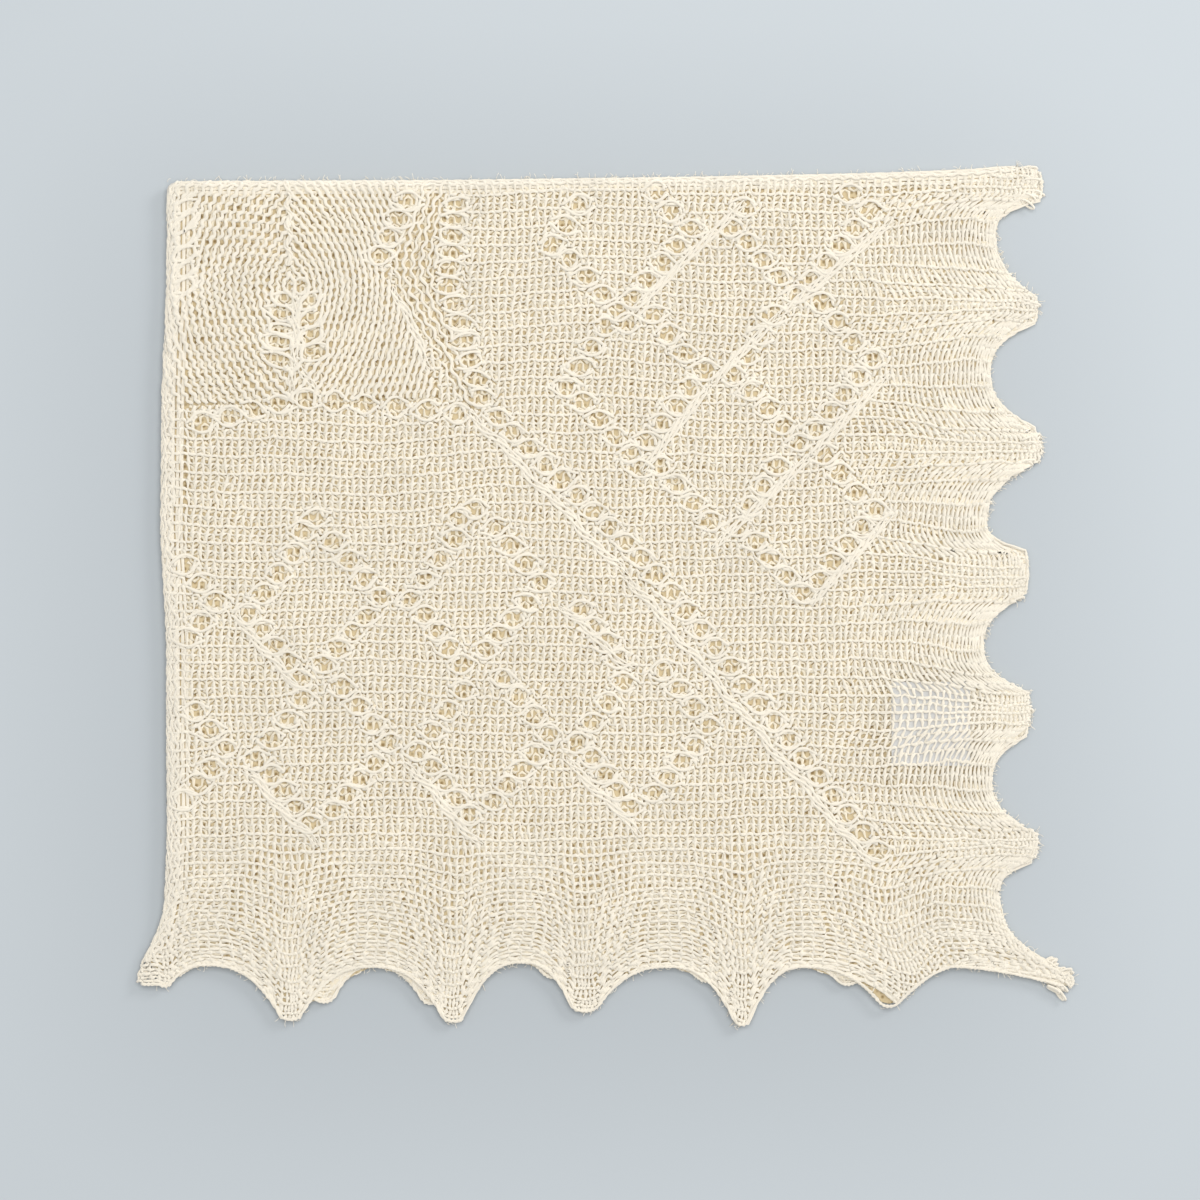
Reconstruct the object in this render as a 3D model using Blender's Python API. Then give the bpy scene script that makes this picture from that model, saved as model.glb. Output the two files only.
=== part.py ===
"""Square lace-knit baby shawl, folded in four and lying flat on a surface."""
import math

import bpy
import numpy as np
from mathutils import Vector
from mathutils.geometry import delaunay_2d_cdt

# Driving dimensions, in millimetres. The working frame has its zero at the folded corner, with X to the right
# along the top fold and Y up, so the shawl lies at positive X and negative Y. The last step moves the finished
# solids until the middle of their box stands over the origin.
MM = 0.001
STACK_H = 10.5          # four layers of cloth, away from the edges
EDGE_H = 5.6            # the same four layers where they thin out at the scalloped border
WALL = 1.6              # the net of the top quarter
GAP = 0.45              # between that net and the layers under it
RIB_H = 0.8             # how far the thick decrease ribs stand out of the net
RIB_HALF_W = 1.6
GROOVE = 6.0            # how deep the grooves between the layers run in from the border
LAYER_INSET = 2.2       # how far a hidden layer stops short of the top layer's border
THIRD_INSET = 1.8       # and the third layer behind the second and fourth
LAYER_MOUTH = 0.16      # half-height of a groove between two layers where it opens
TIP_GROOVE = 1.4        # how deep the grooves run at a scallop's tip
NOSE_ROUND = 1.2        # rounding of a scallop's blunt end
SCALLOP_POWER = 2.5     # a flat hollow between pointed tips

# The border's mean lines, and how the stack thickens from the border inwards.
BOTTOM_LINE = -450.0
RIGHT_LINE = 471.0
# columns: distance in from the mean line, share of the full thickness
THICKENING = ((-14.0, 0.0), (6.0, 0.3), (26.0, 0.78), (50.0, 1.0))

# columns: Y, X of the left fold's outer edge
LEFT_FOLD = ((-455.0, -18.5), (-447.0, -15.5), (-433.0, -7.5), (-419.0, -2.0), (-372.0, 0.0), (-324.0, -0.5),
             (-262.0, -0.5), (-200.0, -4.0), (-120.0, -3.0), (-60.0, 0.0), (-8.0, 0.0))
# columns: X, Y of the top fold's outer edge
TOP_FOLD = ((8.0, 0.0), (150.0, 0.5), (305.0, 2.5), (400.0, 4.5), (455.0, 6.5), (485.0, 9.5), (496.0, 8.0))
CORNER_R = 8.0

# Scallops of the border. The distance along an edge is X on the bottom edge and Y on the right edge, and reach
# is how far out the edge goes: down on the bottom edge, to the right on the right edge.
# columns: tip along, tip reach, half-width of its blunt end, second layer's tip along, its reach
BOTTOM_TIPS = ((-1.0, 461.0, 3.0, 6.0, 455.0), (71.0, 480.0, 5.0, 90.0, 470.0),
               (164.0, 481.0, 5.0, 152.0, 471.0), (239.0, 475.0, 6.5, 223.0, 456.0),
               (329.0, 483.0, 3.5, 308.0, 458.0), (413.0, 472.5, 4.5, 389.0, 460.0),
               (518.0, 463.0, 2.0, 514.0, 461.0))
BOTTOM_HOLLOWS = ((23.0, 448.5), (118.0, 449.5), (203.0, 447.0), (287.0, 449.5), (364.0, 449.5), (450.0, 449.5))
RIGHT_TIPS = ((0.0, 498.0, 8.0, -3.0, 501.0), (-71.0, 498.5, 5.0, -76.0, 498.0),
              (-153.0, 500.5, 7.0, -148.0, 498.0), (-226.0, 491.0, 12.0, -223.0, 493.0),
              (-302.0, 494.0, 10.5, -307.0, 493.0), (-379.0, 498.5, 7.0, -382.0, 496.0),
              (-457.0, 519.0, 3.0, -455.0, 517.0))
RIGHT_HOLLOWS = ((-29.0, 474.0), (-109.0, 471.0), (-196.0, 469.0), (-266.0, 467.0), (-343.0, 472.0),
                 (-407.0, 476.0))
CORNER_TIP = (520.0, -461.5)
CORNER_NOSE = (-3.0, -4.6, -4.2)    # fourth, third and second layers, from the corner tip inwards
CORNER_GROOVE = 1.6
BOTTOM_POWERS = (2.5, 2.5, 2.5, 2.5, 2.5, 1.6)
HALF_STEPS = (0.0, 0.42, 0.7, 0.88, 1.0)

# The folds' rounded sections: half-width of the rounding in plan. It widens where the left fold meets the hem.
LEFT_ROUND = 10.0
FLARE_ROUND = 11.5
FLARE_START = -430.0
FLARE_RUN = 20.0
TOP_ROUND = 5.6
CORNER_BLEND = 36.0     # run over which the left fold's section turns into the top fold's
LEFT_DROP = 0.5         # share of the height from the top down to the fold's widest point
TOP_DROP = 0.25
LEAST_DROP = 2.4        # from the top of the stack to a fold's widest point, where the stack is thin
WRAP_STEPS = 7
LEFT_WRAP = 140.0       # degrees that the net wraps round the left fold, towards the floor
TOP_WRAP = 112.0        # and over the top fold, down to the groove between its two folded edges
# Sections of the layers inside the folds, from the floor up: a foot, the lip of the net, the part under it.
# columns: depth in from the silhouette, height as a share of the stack (left) or of the lower folded edge (top)
LEFT_FOOT = ((8.2, 0.0), (6.0, 0.038), (5.5, 0.071))
TOP_FOOT = ((3.2, 0.0), (0.9, 0.2), (0.3, 0.5))
LEFT_LIP = (140.0, 122.0, 104.0)                # degrees round the left fold
TOP_LIP = ((1.1, 0.84), (3.2, 0.96), (5.6, 1.04))
LEFT_UNDER_NET = (87.0, 70.0, 50.0, 26.0, 0.0)  # degrees round the fold
TOP_UNDER_NET = (125.0, 95.0, 65.0, 30.0, 0.0)
CORNER_TUCK = 0.9       # how much deeper the lip rows lie between the two folds
LIP_CLEAR = 0.5         # least height from the lower folded edge to the lip of the net above it

# Care label, lying between the top layer and the second.
LABEL_BOX = (414.0, -334.0, 459.0, -286.0)
LABEL_THICK = 1.0
LABEL_GAP = 0.3
LABEL_RISE = 1.2        # how far the net lifts over it
LABEL_MARGIN = 3.0
LABEL_FALL = 15.0

# Eyelets: ovals, half-width and half-height.
EYELET = (4.9, 4.1)
LEAF_EYELET = (5.0, 3.3)
LADDER_EYELET = (6.0, 3.7)
EYELET_SIDES = 6
HOLE_REACH = 16.0       # farther from an eyelet than this, no triangle lies in it
EYELET_CLEAR = 1.2      # cloth left between an eyelet and the start of a fold

# Diamonds of eyelets. Each side is a line relative to the diamond's middle.
# columns: side, x0, y0, x1, y1, count
RIGHT_SIDES = (("UL", -21.0, 39.0, -44.0, 4.5, 4), ("LL", -34.0, -4.0, -6.5, -33.5, 4),
               ("LR", 2.5, -26.0, 35.5, 14.0, 5), ("UR", 6.0, 46.0, 24.0, 23.7, 3))
BOTTOM_SIDES = (("UL", -11.4, 35.3, -37.6, 0.6, 4), ("LL", -29.0, -8.0, -8.0, -36.0, 4),
                ("UR", 11.4, 42.0, 37.6, 10.3, 4), ("LR", 29.6, -1.0, 6.0, -28.0, 4))
# columns: middle X, middle Y, sides knitted
RIGHT_DIAMONDS = ((264.5, -41.5, "UL LL LR UR"), (366.0, -31.5, "UL LL LR UR"), (272.0, -122.5, "UL LL LR UR"),
                  (368.0, -116.0, "UL LL LR UR"), (370.0, -202.0, "UL LL LR UR"))
BOTTOM_DIAMONDS = ((84.5, -248.0, "UL LL UR LR"), (176.7, -239.8, "UL LL UR LR"), (-9.0, -250.6, "UR LR"),
                   (89.5, -331.0, "UL LL UR LR"), (181.3, -326.0, "UL LL UR LR"), (-3.4, -334.4, "UR LR"),
                   (266.0, -237.0, "LL"), (272.5, -321.3, "UL LL UR LR"))
# Single lines of eyelets: the main diagonal, and the frame of the medallion in the folded corner.
# columns: x0, y0, x1, y1, count
PLAIN_LINES = ((189.2, -135.1, 271.3, -215.5, 10), (279.9, -224.6, 405.8, -382.5, 16),
               (21.0, -138.0, 80.0, -124.5, 5), (96.3, -126.0, 166.5, -133.0, 5),
               (138.5, -12.0, 122.0, -43.0, 4), (85.0, -192.7, 78.7, -200.0, 2),
               (176.7, -187.5, 168.0, -192.7, 2), (282.0, -163.0, 311.0, -194.4, 4),
               (271.0, -164.5, 271.0, -164.5, 1), (263.0, -81.5, 263.0, -81.5, 1))
LEAF_LINES = ((68.0, -68.5, 64.5, -102.5, 5), (81.5, -68.5, 84.5, -98.0, 4), (77.0, -58.0, 77.0, -58.0, 1),
              (14.5, -14.0, 14.5, -60.0, 6))
LADDER_LINES = ((166.5, -14.0, 162.0, -50.0, 5), (162.0, -60.0, 180.0, -124.0, 7))
# Thick decrease ribs. columns: x0, y0, x1, y1
RIBS = ((173.0, -131.7, 262.0, -225.0), (262.0, -225.0, 402.0, -390.0), (75.0, -12.0, 76.0, -46.0),
        (75.5, -68.0, 76.0, -117.0), (266.0, -75.0, 330.0, -13.0), (271.0, -167.0, 311.0, -116.0),
        (311.0, -116.0, 350.0, -77.0), (350.0, -77.0, 415.0, -23.0), (312.0, -210.0, 368.0, -157.0),
        (368.0, -157.0, 413.0, -110.0), (366.5, -243.0, 415.5, -189.0), (40.0, -248.0, 77.0, -292.0),
        (44.5, -335.0, 87.0, -380.0), (137.0, -332.0, 179.5, -380.0), (228.0, -329.0, 271.0, -374.0))


# Small helpers for tables and curves.

def table_value(table, s):
    """The second column of a table at s in its first, in straight lines from row to row."""
    rows = sorted(table)
    s = min(max(s, rows[0][0]), rows[-1][0])
    for (s0, v0), (s1, v1) in zip(rows, rows[1:]):
        if s <= s1:
            t = (s - s0) / (s1 - s0)
            return v0 + (v1 - v0) * t
    return rows[-1][1]


def smooth_table_value(table, s, window=9.0):
    """A table's value, averaged over a short stretch so that its corners round off."""
    samples = [table_value(table, s + window * k / 3.0) for k in (-3, -2, -1, 0, 1, 2, 3)]
    return sum(samples) / len(samples)


def blend(a, b, t):
    return a + (b - a) * t


def ease(t):
    t = min(max(t, 0.0), 1.0)
    return t * t * (3.0 - 2.0 * t)


def scallop_reach(tips, hollows, powers, s, rising):
    """How far the border reaches at s. Tips and hollows are (along, reach, ...) rows in the edge's order."""
    sign = 1.0 if rising else -1.0
    s = sign * s
    for i, (hollow_s, hollow_reach) in enumerate(hollows):
        first, last = sign * tips[i][0], sign * tips[i + 1][0]
        if s > last and i + 1 < len(hollows):
            continue
        tip = tips[i] if s < sign * hollow_s else tips[i + 1]
        tip_s, reach, nose = sign * tip[0], tip[1], tip[2]
        from_tip = abs(s - tip_s)
        if from_tip < nose or s < first or s > last:
            return reach - NOSE_ROUND * min(from_tip / nose, 1.0) ** 2
        t = abs(s - sign * hollow_s) / (abs(tip_s - sign * hollow_s) - nose)
        return hollow_reach + (reach - NOSE_ROUND - hollow_reach) * t ** powers[i]
    return hollows[-1][1]


def second_layer(tips):
    """The second layer's scallops, from the last two columns of a tip table."""
    return tuple((row[3], row[4], row[2] * 0.8) for row in tips)


def edge_columns(tips, hollows, rising):
    """Places along an edge: each hollow, its two flanks and each tip."""
    places = []
    sign = 1.0 if rising else -1.0
    for i, (hollow_s, _) in enumerate(hollows):
        before, after = tips[i], tips[i + 1]
        start = before[0] + sign * before[2]
        end = after[0] - sign * after[2]
        places.append(before[0])
        places += [blend(hollow_s, start, k) for k in reversed(HALF_STEPS[1:])]
        places.append(hollow_s)
        places += [blend(hollow_s, end, k) for k in HALF_STEPS[1:]]
    places.append(tips[-1][0])
    return places


# Thickness of the stack and the lift over the label.

def stack_height(x, y):
    share = min(table_value(THICKENING, y - BOTTOM_LINE), table_value(THICKENING, RIGHT_LINE - x))
    return EDGE_H + (STACK_H - EDGE_H) * share


def label_lift(x, y):
    x0, y0, x1, y1 = LABEL_BOX
    out = max(x0 - LABEL_MARGIN - x, x - x1 - LABEL_MARGIN, y0 - LABEL_MARGIN - y, y - y1 - LABEL_MARGIN, 0.0)
    return LABEL_RISE * max(0.0, 1.0 - out / LABEL_FALL)


def rib_raise(x, y):
    best = 0.0
    for x0, y0, x1, y1 in RIBS:
        along = np.array((x1 - x0, y1 - y0))
        rel = np.array((x - x0, y - y0))
        t = min(max(float(rel @ along) / float(along @ along), 0.0), 1.0)
        away = float(np.linalg.norm(rel - t * along))
        best = max(best, 1.0 - away / RIB_HALF_W)
    return RIB_H * best


# The fold path: silhouette points up the left fold, round the corner and along the top fold.

def fold_path():
    left_y = [-455.0, -450.0, -444.0, -436.0, -427.0, -416.0]
    left_y += list(np.linspace(-395.0, -14.0, 15))
    points = [(smooth_table_value(LEFT_FOLD, y), y) for y in left_y]
    for k in range(1, 6):
        a = math.pi - k * math.pi / 12.0
        points.append((CORNER_R + CORNER_R * math.cos(a), -CORNER_R + CORNER_R * math.sin(a)))
    top_x = [14.0] + list(np.linspace(36.0, 440.0, 15)) + [462.0, 478.0, 488.0, 496.0]
    points += [(x, smooth_table_value(TOP_FOLD, x)) for x in top_x]
    return points


def inward_normals(points):
    normals = []
    for i in range(len(points)):
        (xa, ya), (xb, yb) = points[max(i - 1, 0)], points[min(i + 1, len(points) - 1)]
        tx, ty = xb - xa, yb - ya
        length = math.hypot(tx, ty)
        normals.append((ty / length, -tx / length))
    return normals


def top_share(point):
    """0 on the left fold, 1 on the top fold, and in between around the corner."""
    x, y = point
    return ease(0.5 + (x + y) / CORNER_BLEND)


def fold_section(point):
    """Section of the net at a point of the fold path: rounding, drop to its widest point and wrap angle."""
    share = top_share(point)
    flare = ease((FLARE_START - point[1]) / FLARE_RUN)
    rounding = blend(blend(LEFT_ROUND, FLARE_ROUND, flare), TOP_ROUND, share)
    drop = max(stack_height(*point) * blend(LEFT_DROP, TOP_DROP, share), LEAST_DROP)
    wrap = math.radians(blend(LEFT_WRAP, TOP_WRAP, share))
    return rounding, drop, wrap


def depth_in(point, normal, depth):
    return point[0] + normal[0] * depth, point[1] + normal[1] * depth


def wrap_section(point, normal, angle, inset):
    """Depth in from the silhouette, and z, of the net's oval section at an angle from the top.

    The oval is made smaller by inset all round."""
    rounding, drop, _ = fold_section(point)
    depth = rounding - (rounding - inset) * math.sin(angle)
    fall = drop - (drop - inset) * math.cos(angle)
    return depth, stack_height(*depth_in(point, normal, depth)) - fall


def wrap_point(point, normal, angle, inset):
    depth, z = wrap_section(point, normal, angle, inset)
    return Vector((*depth_in(point, normal, depth), z))


# Where the hem crosses the left fold, its end dips between two small tips and shows the hollow of the fold.
# columns: degrees round the fold, how far the hem reaches beyond the fold path's end
HEM_AT_FOLD = ((0.0, 5.0), (22.0, 2.0), (45.0, -4.5), (70.0, -1.0), (90.0, 2.5), (112.0, 1.0), (140.0, -2.0))
HEM_FALLOFF = (1.0, 0.55, 0.2)


def along_fold(index, point, angle):
    """A point of the fold path, moved along it in the first columns so that they end at the hem."""
    if index >= len(HEM_FALLOFF):
        return point
    y = point[1] - table_value(HEM_AT_FOLD, math.degrees(angle)) * HEM_FALLOFF[index]
    return smooth_table_value(LEFT_FOLD, y), y


# The border of the top layer, from the top right corner down, round the lower right tip and back to the left.

def hem_points():
    points = []
    for s in edge_columns(RIGHT_TIPS, RIGHT_HOLLOWS, False)[:-1]:
        reach = scallop_reach(RIGHT_TIPS, RIGHT_HOLLOWS, [SCALLOP_POWER] * 6, s, False)
        points.append((reach, s))
    points.append(CORNER_TIP)
    for s in reversed(edge_columns(BOTTOM_TIPS, BOTTOM_HOLLOWS, True)[:-1]):
        reach = scallop_reach(BOTTOM_TIPS, BOTTOM_HOLLOWS, BOTTOM_POWERS, s, True)
        points.append((s, -reach))
    return points


# Eyelets.

def line_places(x0, y0, x1, y1, count):
    for k in range(count):
        t = k / max(count - 1, 1)
        yield blend(x0, x1, t), blend(y0, y1, t)


def eyelets():
    """(x, y, half-width, half-height) of each eyelet."""
    places = []
    for diamonds, sides in ((RIGHT_DIAMONDS, RIGHT_SIDES), (BOTTOM_DIAMONDS, BOTTOM_SIDES)):
        for mx, my, knitted in diamonds:
            for side, x0, y0, x1, y1, count in sides:
                if side in knitted.split():
                    places += [(mx + x, my + y, *EYELET) for x, y in line_places(x0, y0, x1, y1, count)]
    for lines, size in ((PLAIN_LINES, EYELET), (LEAF_LINES, LEAF_EYELET), (LADDER_LINES, LADDER_EYELET)):
        for x0, y0, x1, y1, count in lines:
            places += [(x, y, *size) for x, y in line_places(x0, y0, x1, y1, count)]
    left_limit = LEFT_ROUND + EYELET_CLEAR
    top_limit = TOP_ROUND + EYELET_CLEAR
    kept = []
    for x, y, half_w, half_h in places:
        fold_x = smooth_table_value(LEFT_FOLD, y)
        fold_y = smooth_table_value(TOP_FOLD, x)
        if x - half_w > fold_x + left_limit and y + half_h < fold_y - top_limit:
            kept.append((x, y, half_w, half_h))
    return kept


# Triangulation in plan.

def inside(polygon, x, y):
    hit = False
    for (xa, ya), (xb, yb) in zip(polygon, polygon[1:] + polygon[:1]):
        if (ya > y) != (yb > y) and x < xa + (y - ya) / (yb - ya) * (xb - xa):
            hit = not hit
    return hit


def triangulate(outline, holes, lines):
    """Triangles of an outline with holes and lines inside it.

    Returns points, triangles and where each given point went."""
    points, edges = [], []

    def add_path(path, closed):
        start = len(points)
        points.extend(Vector(p) for p in path)
        edges.extend((start + i, start + i + 1) for i in range(len(path) - 1))
        if closed:
            edges.append((len(points) - 1, start))

    add_path(outline, True)
    for hole in holes:
        add_path(hole, True)
    for line in lines:
        add_path(line, False)
    found, _, triangles, origins, _, _ = delaunay_2d_cdt(points, edges, [], 0, 1e-4)
    found = [(p.x, p.y) for p in found]
    centres = [tuple(sum(found[i][k] for i in t) / 3.0 for k in (0, 1)) for t in triangles]
    kept = []
    for triangle, (x, y) in zip(triangles, centres):
        if not inside(outline, x, y):
            continue
        near = [h for h in holes if abs(x - h[0][0]) < HOLE_REACH and abs(y - h[0][1]) < HOLE_REACH]
        if any(inside(hole, x, y) for hole in near):
            continue
        kept.append(tuple(triangle))
    place_of = {}
    for index, sources in enumerate(origins):
        for source in sources:
            place_of[source] = index
    return found, kept, place_of


def thickening_lines():
    """Lines in plan along which the stack's slope changes."""
    lines = []
    for inset, _ in THICKENING:
        x, y = RIGHT_LINE - inset, BOTTOM_LINE + inset
        if inset < 0.0:
            continue
        across = [(px, y) for px in np.arange(12.0, x - 10.0, 38.0)] + [(x, y)]
        up = [(x, py) for py in np.arange(y + 30.0, -24.0, 38.0)]
        lines.append(across + up)
    return lines


def rib_lines():
    lines = []
    for x0, y0, x1, y1 in RIBS:
        length = math.hypot(x1 - x0, y1 - y0)
        nx, ny = -(y1 - y0) / length, (x1 - x0) / length
        steps = max(2, round(length / 36.0) + 1)
        for side in (-1.0, 0.0, 1.0):
            shift = side * RIB_HALF_W
            trim = 0.0 if side == 0.0 else 0.5 / steps
            lines.append([(blend(x0, x1, t) + nx * shift, blend(y0, y1, t) + ny * shift)
                          for t in np.linspace(trim, 1.0 - trim, steps)])
    return lines


def label_lines():
    x0, y0, x1, y1 = LABEL_BOX
    rings = []
    for m in (LABEL_MARGIN, LABEL_MARGIN + LABEL_FALL):
        rings.append([(x0 - m, y0 - m), (x1 + m, y0 - m), (x1 + m, y1 + m), (x0 - m, y1 + m)])
    lines = [ring + ring[:1] for ring in rings]
    lines += [[a, b] for a, b in zip(*rings)]
    return lines


# Meshes.

def make_object(name, points, faces, colour, roughness):
    mesh = bpy.data.meshes.new(name)
    mesh.from_pydata([tuple(c * MM for c in p) for p in points], [], faces)
    mesh.validate()
    mesh.shade_smooth()
    mesh.set_sharp_from_angle(angle=math.radians(50.0))
    obj = bpy.data.objects.new(name, mesh)
    bpy.context.collection.objects.link(obj)
    material = bpy.data.materials.new(name + "_material")
    material.use_nodes = True
    shader = material.node_tree.nodes["Principled BSDF"]
    shader.inputs["Base Color"].default_value = (*colour, 1.0)
    shader.inputs["Roughness"].default_value = roughness
    shader.inputs["Metallic"].default_value = 0.0
    mesh.materials.append(material)
    return obj


def thicken(outer, inner, triangles):
    """A closed wall between an outer surface and its inner copy, with rims along every open edge."""
    count = len(outer)
    faces = list(triangles) + [tuple(count + i for i in reversed(t)) for t in triangles]
    directed = {(t[i], t[(i + 1) % 3]) for t in triangles for i in range(3)}
    for a, b in directed:
        if (b, a) not in directed:
            faces.append((b, a, count + a))
            faces.append((b, count + a, count + b))
    return outer + inner, faces


def drop_unused(points, faces):
    used = sorted({i for f in faces for i in f})
    renumber = {old: new for new, old in enumerate(used)}
    return [points[i] for i in used], [tuple(renumber[i] for i in f) for f in faces]


def net_top(x, y):
    return stack_height(x, y) + label_lift(x, y)


def front_quarter():
    """The top layer: a net wall with its eyelets, wrapped round the left fold and over the top fold."""
    path = fold_path()
    normals = inward_normals(path)
    rows = []
    for k in range(WRAP_STEPS + 1):
        row = []
        for index, (point, normal) in enumerate(zip(path, normals)):
            angle = fold_section(point)[2] * k / WRAP_STEPS
            place = along_fold(index, point, angle)
            row.append((wrap_point(place, normal, angle, 0.0), wrap_point(place, normal, angle, WALL)))
        rows.append(row)
    first_row = [(outer.x, outer.y) for outer, _ in rows[0]]
    outline = first_row + hem_points()[1:-1]
    outline.reverse()
    holes = []
    for x, y, half_w, half_h in eyelets():
        turn = [math.tau * k / EYELET_SIDES for k in range(EYELET_SIDES)]
        holes.append([(x + half_w * math.cos(a), y + half_h * math.sin(a)) for a in turn])
    flat, triangles, place_of = triangulate(outline, holes, thickening_lines() + rib_lines() + label_lines())
    outer = [Vector((x, y, net_top(x, y) + rib_raise(x, y))) for x, y in flat]
    inner = [Vector((x, y, net_top(x, y) - WALL)) for x, y in flat]
    columns = len(path)
    # The outline was reversed, so the fold row's points come last, in falling order.
    ids = [[place_of[len(outline) - 1 - j] for j in range(columns)]]
    for row in rows[1:]:
        ids.append(list(range(len(outer), len(outer) + columns)))
        outer += [a for a, _ in row]
        inner += [b for _, b in row]
    for upper, lower in zip(ids, ids[1:]):
        for j in range(columns - 1):
            triangles.append((upper[j], upper[j + 1], lower[j]))
            triangles.append((upper[j + 1], lower[j + 1], lower[j]))
    points, faces = thicken(outer, inner, triangles)
    points, faces = drop_unused(points, faces)
    return make_object("front_quarter", points, faces, (0.86, 0.80, 0.66), 0.9)


def layered_section(reaches, groove, height):
    """Section of the hidden layers at the border: three flaps with grooves between them, from the floor up.

    reaches are the outer limits of the fourth, third and second layers, and groove is the depth of the grooves.
    Each row is (reach, z)."""
    fourth, third, second = reaches
    top = height - WALL - GAP
    layer = top / 3.0
    mouth = LAYER_MOUTH
    groove_a = min(fourth, third) - groove
    groove_b = min(third, second) - groove
    return [(fourth - 0.5, 0.0), (fourth, layer * 0.45), (fourth - 0.3, layer - mouth), (groove_a, layer),
            (third - 0.3, layer + mouth), (third, layer * 1.5), (third - 0.3, layer * 2.0 - mouth),
            (groove_b, layer * 2.0), (second - 0.3, layer * 2.0 + mouth), (second, top - 0.4),
            (second - 0.6, top)]


def fold_inner_section(point, normal):
    """Section of the hidden layers inside the folds, as points from the floor up."""
    share = top_share(point)
    height = stack_height(*point)
    lip_z = wrap_section(point, normal, fold_section(point)[2], 0.0)[1]
    fold_h = min(height / 2.0, lip_z - LIP_CLEAR)
    tuck = CORNER_TUCK * 4.0 * share * (1.0 - share)

    def under_net(degrees):
        return wrap_section(point, normal, math.radians(degrees), WALL + GAP)

    rows = []
    for left, top in zip(LEFT_FOOT, TOP_FOOT):
        rows.append((blend(left[0], top[0], share), blend(height * left[1], fold_h * top[1], share)))
    for degrees, top in zip(LEFT_LIP, TOP_LIP):
        depth, z = under_net(degrees)
        rows.append((blend(depth, top[0], share) + tuck, blend(z, fold_h * top[1], share)))
    for left, top in zip(LEFT_UNDER_NET, TOP_UNDER_NET):
        rows.append(under_net(blend(left, top, share)))
    return [(*depth_in(point, normal, depth), z) for depth, z in rows]


def layer_reach(tips, hollows, powers, s, rising):
    """Reaches of the fourth, third and second layers at s."""
    first = scallop_reach(tips, hollows, powers, s, rising)
    own = scallop_reach(second_layer(tips), hollows, powers, s, rising) - 1.0
    second = max(first - LAYER_INSET, own)
    fourth = first - LAYER_INSET
    third = max(second, fourth) - THIRD_INSET
    return fourth, third, second


def groove_depth(tips, hollows, s):
    nearest_tip = min(abs(s - row[0]) for row in tips)
    nearest_hollow = min(abs(s - row[0]) for row in hollows)
    return blend(TIP_GROOVE, GROOVE, nearest_tip / (nearest_tip + nearest_hollow))


def folded_layers():
    """The three hidden layers as one rounded solid: folded at the left and top, layered at the border.

    The border's columns beside the lower right tip are left out, because its blunt end is narrow."""
    path = fold_path()
    normals = inward_normals(path)
    sections = []
    for point, normal in zip(path[2:-1], normals[2:-1]):
        sections.append(fold_inner_section(point, normal))
    powers = [SCALLOP_POWER] * 6
    for s in edge_columns(RIGHT_TIPS, RIGHT_HOLLOWS, False)[1:-2]:
        reaches = layer_reach(RIGHT_TIPS, RIGHT_HOLLOWS, powers, s, False)
        groove = groove_depth(RIGHT_TIPS, RIGHT_HOLLOWS, s)
        rows = layered_section(reaches, groove, stack_height(max(reaches), s))
        sections.append([(reach, s, z) for reach, z in rows])
    nose = layered_section(CORNER_NOSE, CORNER_GROOVE, EDGE_H)
    sections.append([(CORNER_TIP[0] + 0.8 * d, CORNER_TIP[1] - 0.6 * d, z) for d, z in nose])
    for s in reversed(edge_columns(BOTTOM_TIPS, BOTTOM_HOLLOWS, True)[1:-2]):
        reaches = layer_reach(BOTTOM_TIPS, BOTTOM_HOLLOWS, BOTTOM_POWERS, s, True)
        groove = groove_depth(BOTTOM_TIPS, BOTTOM_HOLLOWS, s)
        rows = layered_section(reaches, groove, stack_height(s, -max(reaches)))
        sections.append([(s, -reach, z) for reach, z in rows])
    count, levels = len(sections), len(sections[0])
    points = [Vector(p) for section in sections for p in section]
    faces = []
    for i in range(count):
        here, there = i * levels, ((i + 1) % count) * levels
        for k in range(levels - 1):
            faces.append((here + k, here + k + 1, there + k))
            faces.append((here + k + 1, there + k + 1, there + k))
    for level, lines in ((0, []), (levels - 1, thickening_lines())):
        ring = [(section[level][0], section[level][1]) for section in sections]
        ring.reverse()
        flat, triangles, place_of = triangulate(ring, [], lines)
        ids = {place_of[count - 1 - i]: i * levels + level for i in range(count)}
        for index, (x, y) in enumerate(flat):
            if index not in ids:
                ids[index] = len(points)
                z = 0.0 if level == 0 else stack_height(x, y) - WALL - GAP
                points.append(Vector((x, y, z)))
        for t in triangles:
            t = [ids[i] for i in t]
            faces.append(tuple(reversed(t)) if level == 0 else tuple(t))
    points, faces = drop_unused(points, faces)
    return make_object("folded_layers", points, faces, (0.78, 0.70, 0.54), 0.95)


def care_label():
    """A small woven label under the net, following the slope of the layers below it."""
    x0, y0, x1, y1 = LABEL_BOX
    breaks = sorted([x0, x1] + [RIGHT_LINE - inset for inset, _ in THICKENING if x0 < RIGHT_LINE - inset < x1])
    points, faces = [], []
    for x in breaks:
        z = stack_height(x, (y0 + y1) / 2.0) - WALL - GAP + LABEL_GAP
        points += [Vector((x, y0, z)), Vector((x, y1, z)), Vector((x, y1, z + LABEL_THICK)),
                   Vector((x, y0, z + LABEL_THICK))]
    for i in range(len(breaks) - 1):
        a, b = 4 * i, 4 * i + 4
        for k in range(4):
            n = (k + 1) % 4
            faces.append((a + k, a + n, b + n, b + k))
    last = 4 * (len(breaks) - 1)
    faces.append((3, 2, 1, 0))
    faces.append((last, last + 1, last + 2, last + 3))
    return make_object("care_label", points, faces, (0.83, 0.84, 0.83), 0.7)


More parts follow.
